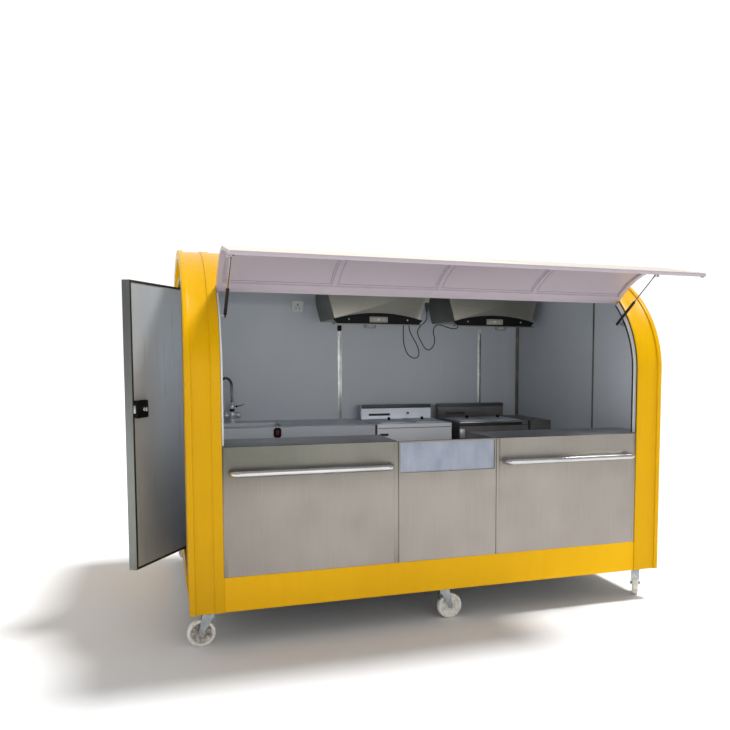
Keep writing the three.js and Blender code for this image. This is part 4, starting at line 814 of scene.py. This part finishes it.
# Coil paint for the door: a bluer grey than the lining, with more shine
door_paint = sprayed("door_coil_paint", "#BFC6CD", "#B3BBC3", 0.3, 2.38)
leaf = bmesh.new()
put(leaf, block((-1.4, DOOR_FRONT + 5, DOOR_LOW + 5), (45.4, DOOR_BACK - 5, DOOR_TOP - 5)))
blocks(leaf, 0.8,
       ((-2, DOOR_FRONT, DOOR_LOW), (46, DOOR_FRONT + 6, DOOR_TOP)),
       ((-2, DOOR_BACK - 6, DOOR_LOW), (46, DOOR_BACK, DOOR_TOP)),
       ((-2, DOOR_FRONT + 5, DOOR_TOP - 6), (46, DOOR_BACK - 5, DOOR_TOP)),
       ((-2, DOOR_FRONT + 5, DOOR_LOW), (46, DOOR_BACK - 5, DOOR_LOW + 6)),
       ((-2, DOOR_FRONT + 4, DOOR_LOW + 4), (-0.6, DOOR_FRONT + 26, DOOR_TOP - 4)),
       ((-2, DOOR_BACK - 26, DOOR_LOW + 4), (-0.6, DOOR_BACK - 4, DOOR_TOP - 4)),
       ((-2, DOOR_FRONT + 4, DOOR_TOP - 26), (-0.6, DOOR_BACK - 4, DOOR_TOP - 4)),
       ((-2, DOOR_FRONT + 4, DOOR_LOW + 4), (-0.6, DOOR_BACK - 4, DOOR_LOW + 26)), finish=1)
leaf = settle(leaf, "door_leaf", "door", [door_paint, aluminium], door_turn)
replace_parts(leaf, "door_panel")
gasket = blocks(
    bmesh.new(), 1.5,
    ((44.6, DOOR_FRONT + 6, DOOR_LOW + 6), (48.2, DOOR_FRONT + 14, DOOR_TOP - 6)),
    ((44.6, DOOR_BACK - 14, DOOR_LOW + 6), (48.2, DOOR_BACK - 6, DOOR_TOP - 6)),
    ((44.6, DOOR_FRONT + 6, DOOR_TOP - 14), (48.2, DOOR_BACK - 6, DOOR_TOP - 6)),
    ((44.6, DOOR_FRONT + 6, DOOR_LOW + 6), (48.2, DOOR_BACK - 6, DOOR_LOW + 14)), steps=3)
settle(gasket, "door_gasket", "door", seal_rubber, door_turn)
hinge = bmesh.new()
for i in range(13):
    knuckle = spun([[0, 0], [6, 0], [7, 1], [7, 124.6], [6, 125.6], [0, 125.6]], 20)
    put(hinge, knuckle, placed((PIN_X, PIN_Y, DOOR_LOW + 126.54 * i)))
put(hinge, block((1.2, PIN_Y, DOOR_LOW), (5, 1061.8, DOOR_TOP), 0.8))
put(hinge, block((-4, 1021, DOOR_LOW + 1), (3, 1026, DOOR_TOP - 1), 0.8))
for i in range(9):
    screw = spun([[0, 2.2], [3, 1.8], [5.5, 0], [0, 0]], 12)
    put(hinge, screw, placed((1.6, 1046, DOOR_LOW + 60 + 190 * i), -90, "Y"))
hinge = settle(hinge, "door_pin_hinge", "shell", aluminium)
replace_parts(hinge, "door_hinge")

# Moulded ABS: black, with only a faint sheen
black_plastic = moulded("black_abs", "#141517", "#0A0B0C", 0.5, Specular_IOR_Level=0.15)
lock = block((46.3, 445, 1215), (71.3, 557, 1315), 5, 3)
put(lock, block((70.4, 452, 1222), (71.9, 492, 1308), 0.6, 1))
put(lock, spun([[0, 0], [18, 0], [17, 1.4], [0, 1.4]], 32), placed((70.6, 501, 1265), 90, "Y"))
put(lock, block((50, 437.6, 1243), (64, 446, 1287), 1.5), finish=1)
lock = settle(lock, "door_rim_lock", "door", [black_plastic, plated], door_turn)
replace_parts(lock, "door_lock")
knob = spun([[0, 0], [12.6, 0], [13, 1], [13, 9], [12, 11.5], [6, 13], [0, 13]], 32)
put(knob, block((-13, -3.9, 11), (13, 3.9, 26), 2.4, 3))
knob_turn = door_turn @ placed((71.6, 501, 1265), 90, "Y")
knob = settle(knob, "door_thumb_knob", "lock_knob", ground_steel, knob_turn)
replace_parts(knob, "door_lock_knob")
pull = spun([[0, 0.4], [22, 0.4], [27, 1.2], [31, 3], [34, 3.2], [36, 2], [37, 0], [37, -3], [0, -3]], 40)
put(pull, block((-26, -7, 0.6), (26, 7, 2.8), 1))
settle(pull, "door_flush_pull", "door", aluminium, door_turn @ placed((-1.6, 505, 1180), -90, "Y"))


# Sink table: a folded stainless bench along the rear wall with a welded bowl, a low shelf and a
# rocker switch in a black splash-proof housing on its apron.
TABLE_FRONT, TABLE_TOP = 1430.0, 1062.0
# Handled and wiped dull, so that it scatters more light than a new sheet
bench_steel = grained("bench_stainless", "#CCD0D5", "#BABFC5", 0.42, (200, LINES, LINES), metal=0.35)
eased("sink_table", bench_steel, 1.0)
rim = block((60, 1427.4, 1058.6), (1396, 1431, 1063.2), 1.6, 3)
settle(rim, "sink_table_rim", "shell", rail_steel)
drain = spun([[0, -2], [12, -2], [14, 0.6], [38, 1.2], [44, 2.2], [46, 0.8], [46, 0], [0, 0]], 36)
put(drain, spun([[0, -60], [20, -60], [20, -14], [26, -12], [26, 0], [0, 0]], 24), placed((0, 0, -10)))
settle(drain, "sink_drain", "shell", ground_steel, placed((510, 1695, 892)))
waste = [Vector((510, 1695, 826)), *quarter((510, 1695, 740), (0, 0, -1), (0, 1, 0), 45),
         *quarter((510, 1815, 740), (0, 1, 0), (0, 0, -1), 40), Vector((510, 1815, 470))]
# Polypropylene: a milky white with a soft shine. The switch's polycarbonate is a deep, dark red.
white_plastic = moulded("white_polypropylene", "#EDEDE9", "#DCDCD6", 0.4)
dark_red = moulded("dark_red_polycarbonate", "#8A1B18", "#6E1210", 0.3, 1.11)
pipe("sink_waste_pipe", waste, 18, "shell", white_plastic)
SWITCH_X, SWITCH_Z = 667, 1022
casing = rounded([[-27, -26], [-16, -36], [16, -36], [27, -26], [27, 26], [16, 36], [-16, 36], [-27, 26]], 4)
housing = lofted([[(SWITCH_X + x * share, y, SWITCH_Z + z * share) for x, z in casing]
                  for share, y in ((1.0, 1430.6), (1.0, 1425), (0.94, 1422.4), (0.86, 1422))])
settle(housing, "switch_housing", "shell", black_plastic)
rocker = facing_front(rounded(rectangle(-9, -15, 9, 15), 2), 1418.6, 1422.4)
rocker = settle(rocker, "switch_key", "rocker", dark_red, placed((SWITCH_X, 0, SWITCH_Z)))
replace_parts(rocker, "switch_rocker")


# Tap: a chromed pillar with two side valves, a black lever and a high swan-neck spout that turns
# on a collar.

# New chrome at the spout's ends: a clear mirror, spotted by dried water
chrome, tree, into, place = begin("chrome_plate", Metallic=1.0)
film = add(tree, "TexNoise", {"Vector": place, "Scale": per_metre(16.7), "Detail": 4.0})
add(tree, "Mix", {0: film, 6: linear("#C9CDD1"), 7: linear("#E2E4E6")}, into["Base Color"], data_type="RGBA")
add(tree, "MapRange", {"Value": film, "To Min": 0.06, "To Max": 0.2}, into["Roughness"])
add(tree, "Bump", {"Height": film, "Distance": 0.0003, "Strength": 0.15}, into["Normal"])
# The neck's chrome is worn to a darker grey, and the pillar's is pale under a film of limescale
neck_chrome = grained("worn_chrome_neck", "#83868A", "#55585C", 0.24, (16.67, 16.67, 16.67), cloud=50)
scaled_chrome = grained("limescaled_chrome", "#E4E3E6", "#C9C8CC", 0.34, (16.67, 16.67, 16.67), 50, metal=0.5)
TAP = Matrix.Translation((400, 1950, TABLE_TOP))
pillar = spun([[0, 0], [36, 0], [36, 4], [33, 8], [27, 10], [24, 16], [24, 30], [28, 36], [29, 72], [26, 80],
               [17, 84], [15, 86], [15, 104], [17.5, 107], [22, 110], [22, 134], [18, 137.5], [0, 138]], 40)
for side in (-1, 1):
    valve = spun([[0, 0], [14, 0], [14, 26], [19, 28], [23, 32], [24, 38], [24, 54], [21, 60], [14, 62],
                  [0, 62]], 28)
    put(pillar, valve, placed((0, 0, 56), side * 90, "Y"))
put(pillar, spun([[0, 0], [6, 0], [6, 24], [0, 24]], 20), placed((0, 0, 123), 90, "Y"))
pillar = settle(pillar, "tap_pillar", "shell", scaled_chrome, TAP)
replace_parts(pillar, "faucet_body")
collar = spun([[15.4, 86], [18.6, 87], [19, 90], [19, 99], [18.6, 102], [15.4, 103], [15.4, 86]], 32)
settle(collar, "tap_collar", "shell", black_plastic, TAP)
BEND, RISER = 62, 140  # the neck's bend radius, and how far it rises before that
arc = [math.pi * i / 20 for i in range(1, 21)]
neck = [(0, 0, 2), *((0, 0, RISER * i / 4) for i in (1, 2, 3, 4)),
        *((0, -BEND * (1 - math.cos(t)), RISER + BEND * math.sin(t)) for t in arc), (0, -2 * BEND, 72)]
spout_turn = TAP @ placed((0, 0, 138.3), -50)
neck = [spout_turn @ Vector(where) for where in neck]
spout = pipe("tap_swan_neck", neck, 9.6, "spout", neck_chrome, sides=5)
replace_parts(spout, "faucet_spout")
ends = spun([[0, 0], [12.5, 0], [13, 1], [13, 12], [11, 16], [9.4, 18], [0, 18]], 28)
mouth = spun([[9.2, 0], [10.6, 0], [10.9, 2], [10.9, 12], [10.2, 14], [9.2, 14], [9.2, 0]], 28)
put(ends, mouth, placed((0, -2 * BEND, 70)))
settle(ends, "tap_spout_ends", "spout", chrome, spout_turn)
lever = spun([[0, -8], [7, -8], [8, -7], [8, 7], [7, 8], [0, 8]], 28)
lever.transform(Matrix.Rotation(math.pi / 2, 4, "X"))
blade = rounded([[0, -4, 2], [30, 1, 10], [60, 13.5, 2], [60, 18, 2], [30, 7, 10], [0, 4, 2]], 2)
put(lever, facing_front(blade, -4, 4))
lever = settle(lever, "tap_lever_arm", "tap_lever", black_plastic, TAP @ placed((32.3, 0, 123)))
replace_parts(lever, "faucet_lever")


# Fryers: two stainless twin-tank fryers side by side, with a flue panel behind, a lid with a ball
# knob over each tank, a thermostat knob and a folded front panel.

# Wiped stainless, paler and duller than new. The left fryer's front is painted paler than its top and flue
# panel, as painted light on the front, and the right fryer is browned by heat.
light_steel = grained("fryer_stainless", "#D6DAE2", "#C5CAD3", 0.4, (200, LINES, LINES), metal=0.6)
painted_light_front = grained("pale_front_stainless", "#FBFCFF", "#EEF1F6", 0.42, (200, LINES, LINES), metal=0.25)
dark_steel = grained("heat_browned_stainless", "#93908E", "#6B6866", 0.4, (200, LINES, LINES), 200, metal=0.6)
# Enamel on the flue's cap is a dark satin grey. The mottled near black is painted shade in the flue slots, the
# lines across the fronts and the right fryer's recess under its rail, and the parts' own black on the left
# fryer's handle and the flue knob.
cap_enamel = moulded("grey_cap_enamel", "#54575A", "#3E4144", 0.4, 3.33)
near_black_and_painted_shade, tree, into, place = begin("near_black_enamel_and_painted_shade", Roughness=0.5)
black_mottle = add(tree, "TexNoise", {"Vector": place, "Scale": per_metre(55.6), "Detail": 6.0})
add(tree, "Mix", {0: black_mottle, 6: linear("#151515"), 7: linear("#37352F")}, into["Base Color"], data_type="RGBA")
add(tree, "Bump", {"Height": black_mottle, "Distance": 0.001, "Strength": 0.4}, into["Normal"])
FRYER, TANK = 592.0, 225.0  # widths of a fryer and of one of its tanks
gap = (FRYER - 2 * TANK) / 3


def on_front(centre, normal):
    """1 for a face of a fryer's front sheet, 0 for any other."""
    return int(normal.y < -0.5 and centre.y < TABLE_FRONT + 20)


for i, start, sheets in ((1, 1405.0, [light_steel, painted_light_front]), (2, 2062.0, [dark_steel, dark_steel])):
    end = start + FRYER
    # The left fryer's front faces take the paler steel, which is painted light
    eased(f"fryer_{i}_cabinet", sheets, 1.2, on_front)
    trim = bmesh.new()
    put(trim, block((start + 2, 1919, 1150), (end - 2, 1991, 1178.4), 4), finish=1)
    # The dark slot in the flue panel: painted shade
    put(trim, block((start + 62, 1927.6, 1090), (start + 240, 1930.4, 1108), 1))
    # Dark lines across the front: painted shadow under the sheet's steps
    put(trim, block((start + 8, 1427.6, 1030), (end - 8, 1430.4, 1034), 0.8))
    put(trim, block((start + 8, 1427.6, 880), (end - 8, 1430.4, 883), 0.8))
    if i == 1:
        put(trim, block((start + 16, 1402, 977), (start + 79, 1414, 994), 4, 3))
        for x in (start + 24, start + 68):
            put(trim, block((x, 1412, 980), (x + 6, 1431, 991), 1))
        put(trim, block((start + 384, 1916, 1100), (start + 400, 1931, 1116), 3))
    else:
        # A dark strip under the bright rail: painted shade in its recess
        put(trim, block((start + 2, 1424, 1030), (end - 60, 1430.6, 1052), 0.8))
    settle(trim, f"fryer_{i}_dark_trim_and_painted_shade", "shell", [near_black_and_painted_shade, cap_enamel])
    bright = bmesh.new()
    if i == 2:
        put(bright, block((start, 1418, 1052), (end - 60, 1431, 1064), 4, 3), finish=1)
        put(bright, block((start - 4, 1404, 939), (start + 39, 1430.4, 1011), 3))
    put(bright, block((start + 30, 1426.6, 420), (end - 30, 1430.6, 860), 1.5))
    put(bright, block((end - 110, 1408, 700), (end - 98, 1414, 820), 2))
    for z in (706, 808):
        put(bright, block((end - 108, 1412, z), (end - 100, 1427, z + 8), 1))
    settle(bright, f"fryer_{i}_front_fittings", "shell", [light_steel, rail_steel])
    for side, x in (("left", start + gap), ("right", end - gap - TANK)):
        lid = block((x - 12, 1478, 1062.3), (x + 237, 1882, 1066), 1.2)
        put(lid, block((x + 6, 1496, 1065), (x + 219, 1864, 1070.3), 2.6, 3))
        stem = spun([[0, 0], [10, 0], [9, 2], [4.5, 3.5], [4, 8], [0, 8]], 24)
        put(lid, stem, placed((x + TANK / 2, 1680, 1070)))
        ball = [[0, -13]] + [[13 * math.sin(math.pi * k / 14), -13 * math.cos(math.pi * k / 14)]
                             for k in range(1, 14)] + [[0, 13]]
        put(lid, spun(ball, 24), placed((x + TANK / 2, 1680, 1084)), finish=1)
        lid = settle(lid, f"fryer_{i}_tank_lid_{side}", f"lid_{i}_{side}", [light_steel, black_plastic])
        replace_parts(lid, f"fryer_{i}_lid_{side}")
        rack = bmesh.new()
        for bar in range(9):
            at = 1500 + 365 * bar / 8
            put(rack, block((x + 4, at - 1.5, 962), (x + 221, at + 1.5, 965)))
        for bar in range(6):
            at = x + 8 + 209 * bar / 5
            put(rack, block((at - 1.5, 1494, 965), (at + 1.5, 1866, 968)))
        settle(rack, f"fryer_{i}_tank_rack_{side}", "shell", light_steel)
    dial = spun([[0, 0], [19.4, 0], [20, 1], [20, 6], [16.5, 9], [15.5, 23], [14, 24], [0, 24]], 36)
    put(dial, block((-2.4, 0, 10), (2.4, 17, 24), 1.2))
    put(dial, block((-1, 4, 23.4), (1, 14, 24.2), 0.3), finish=1)
    dial_turn = placed(((start + end) / 2, 1429.7, TABLE_TOP - 170), 90, "X")
    dial = settle(dial, f"fryer_{i}_dial", f"knob_{i}", [black_plastic, white_plastic], dial_turn)
    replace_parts(dial, f"fryer_{i}_knob")
eased("end_table", dark_steel, 1.0)


# Hoods: two side-draught extractors on the rear wall, folded in dull stainless, each with a
# black moulded control arch, a bank of push keys, two lamps, baffle filters and an oil cup.

# Dull stainless: the front sheet a warm grey; the sides rougher, and painted darker as painted shade
hood_front = grained("hood_stainless", "#B8B4A8", "#9D998E", 0.4, (200, LINES, LINES))
hood_side_painted_shade = grained("hood_side_stainless", "#8B8A83", "#706F69", 0.46, (LINES, 200, LINES))
# Pressed glass lens: pale, with small facets that break up what it mirrors
lamp_glass, tree, into, place = begin("lamp_lens", Roughness=0.25, IOR=1.5)
facets = add(tree, "TexVoronoi", {"Vector": place, "Scale": per_metre(3.85)})
add(tree, "Mix", {0: facets, 6: linear("#E9E9E2"), 7: linear("#B9B9B0")}, into["Base Color"], data_type="RGBA")
add(tree, "Bump", {"Height": facets, "Distance": 0.001}, into["Normal"])
# The oil cups' polycarbonate is clouded to a flat grey, and the keys are grey, yellowed a little
cup_plastic = moulded("clouded_polycarbonate", "#A9ADB0", "#94989B", 0.3, 1.11)
key_plastic = moulded("grey_key_plastic", "#B4B2A6", "#9A988C", 0.42)
ARCH_HALF, ARCH_FOOT, ARCH_RISE = 346, 1813, 50
for i, centre in enumerate(HOODS, 1):
    # Faces that look sideways take the darker side steel, painted shade
    eased(f"hood_{i}_body", [hood_front, hood_side_painted_shade], 1.5, lambda at, normal: int(abs(normal.x) > 0.5))
    arch = [[-ARCH_HALF, HOOD_BOTTOM, 4], [-314, ARCH_FOOT, 6], [314, ARCH_FOOT, 6],
            [ARCH_HALF, HOOD_BOTTOM, 4]]
    for share in (1 - k / 6 for k in range(1, 12)):
        arch.append([ARCH_HALF * share, HOOD_BOTTOM + ARCH_RISE * (1 - share ** 2), 2])
    arch = rounded(arch, 4, 2)
    shell = facing_front([(centre + x, z) for x, z in arch], 1506.2, 1509)
    raised = [(centre + x * 0.985, ARCH_FOOT + (z - ARCH_FOOT) * 0.95 + 1.5) for x, z in arch]
    put(shell, facing_front(raised, 1504.6, 1507))
    settle(shell, f"hood_{i}_control_arch", "shell", black_plastic)
    lip = block((centre - 344, 1498, 1807), (centre + 344, 1522, 1813.4), 2.8, 3)
    for side in (-1, 1):
        foot = spun([[0, 0], [15, 0], [17, 2], [17, 8], [12, 13], [0, 15]], 24)
        put(lip, foot, placed((centre + side * 332, 1516, 1806)))
    settle(lip, f"hood_{i}_bottom_lip", "shell", hood_front)
    lamps = bmesh.new()
    for x in (centre - 227, centre + 226):
        lens = spun([[0, 2.4], [3, 1.9], [5, 0.6], [5.6, 0], [0, 0]], 24)
        put(lamps, lens, placed((x, 1504.8, 1845), 90, "X"))
    settle(lamps, f"hood_{i}_lamps", "shell", lamp_glass)
    bank = block((centre - 59.4, 1504.2, 1830.6), (centre + 59.4, 1510.5, 1859.4), 1.2)
    for key_at in range(5):
        x = centre - 46 + 23 * key_at
        put(bank, block((x - 9, 1503.2, 1837), (x + 9, 1505.2, 1853), 0.8), finish=key_at == 2)
    bank = settle(bank, f"hood_{i}_keys", f"hood_switch_{i}", [key_plastic, lamp_glass])
    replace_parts(bank, f"hood_{i}_switch")
    bezel = bmesh.new()
    for left, low, right, high in ((-70, 1824, 70, 1829.4), (-70, 1860.6, 70, 1866),
                                   (-70, 1824, -60.6, 1866), (60.6, 1824, 70, 1866)):
        put(bezel, block((centre + left, 1503.2, low), (centre + right, 1506.6, high), 1))
    settle(bezel, f"hood_{i}_key_bezel", "shell", key_plastic)
    baffles = bmesh.new()
    for bar in range(14):
        x = centre - 300 + bar * 46.15
        put(baffles, block((x - 13, 1570, 1868), (x + 13, 1786, 1872), 1))
        put(baffles, block((x + 10, 1570, 1878), (x + 36, 1786, 1882), 1))
    for front, back in ((1562, 1572), (1786, 1798)):
        put(baffles, block((centre - 322, front, 1862), (centre + 322, back, 1886), 1))
    settle(baffles, f"hood_{i}_filters", "shell", light_steel)
    tray = block((centre - 250, 1514, 1838), (centre + 250, 1534, 1846), 2)
    settle(tray, f"hood_{i}_drip_rail", "shell", rail_steel)
    cup = spun([[0, 0], [30, 0], [42, 3], [46, 8], [47, 26], [50, 28], [50, 31], [44, 31], [42, 9], [0, 6]], 36)
    put(cup, block((-12, -5, 28), (12, 5, 62), 2))
    x = centre - 41 if i == 1 else centre + 100
    settle(cup, f"hood_{i}_oil_cup", "shell", cup_plastic, placed((x, 1612, 1783)))


# Wall trim: pressed strips over the panel joints, angle strips in the corners and a socket
# outlet on the rear wall.

# Pressed steel: the joint strips polished, with dark and light bands along them painted in as painted
# reflection, and the corner strips weathered to a dull brown
REAR = 2120.0
joint_strip_painted_reflection = grained("polished_joint_strip", "#C4C4C0", "#8C8C88", 0.2, (16.67, 16.67, 125), cloud=71.4)
brown_strip = grained("weathered_corner_strip", "#8F8A84", "#6E6862", 0.36, (16.67, 16.67, 125), cloud=71.4)
strip = [[-15, 50, 0.5], [-15, 52, 1], [-7, 52, 1], [-4, 55.5, 2], [4, 55.5, 2], [7, 52, 1], [15, 52, 1],
         [15, 50, 0.5]]
for title, x, high, cap_plastic in (("left", 1262, 1814, black_plastic), ("right", 2488, 1806, white_plastic)):
    rings = [[(x + side, REAR - inset, z) for side, inset in rounded(strip, 1, 2)] for z in (1064, high)]
    settle(lofted(rings), f"rear_joint_strip_{title}", "shell", joint_strip_painted_reflection)
    cap = block((x - 17, REAR - 61, high - 38), (x + 17, REAR - WALL, high + 5), 4, 3)
    settle(cap, f"rear_strip_cap_{title}", "shell", cap_plastic)
corners = bmesh.new()
CORNER_FOOT = 180 + 1658
for edge, hand in ((45, 1), (2855, -1)):
    angle = [[0.2, WALL], [22, WALL], [22, 52], [3, 52], [3, 72], [0.2, 72]]
    put(corners, along_arch([(edge + hand * x, inset) for x, inset in angle], STRIPS_FROM, CORNER_FOOT))
settle(corners, "rear_corner_angles", "shell", brown_strip)
# The right wall's joint strip takes the hoods' darker side steel, which is painted shade
side_strip = block((2849, 770, 300), (2855.2, 786, 2120), 1.5)
put(side_strip, block((2847.4, 774, 302), (2850, 782, 2118), 1))
settle(side_strip, "right_wall_joint_strip", "shell", hood_side_painted_shade)
OUTLET_Z = 44
outlet_turn = placed((923, 2068, 1922), 20.8, "X")
cover, well = rounded(rectangle(-45, -45, 45, 45), 5, 3), rounded(rectangle(-31, -33, 31, 33), 4, 3)
outlet = facing_front([(x, OUTLET_Z + z) for x, z in cover], -9, 0)
put(outlet, facing_front([(x, OUTLET_Z + z) for x, z in well], -11, -8.5))
put(outlet, block((-36, -2, 8), (36, 18, 80), 3))
settle(outlet, "outlet_plate", "shell", white_plastic, outlet_turn)
# The slots are black plates, painted shade for the holes in the outlet
slots = bmesh.new()
for left, low, right, high in ((-3.5, 4, 3.5, 24), (-15, -20, -10, -4), (10, -20, 15, -4)):
    put(slots, block((left, -11.6, OUTLET_Z + low), (right, -10.6, OUTLET_Z + high), 0.3))
settle(slots, "outlet_slots", "shell", black_plastic, outlet_turn)
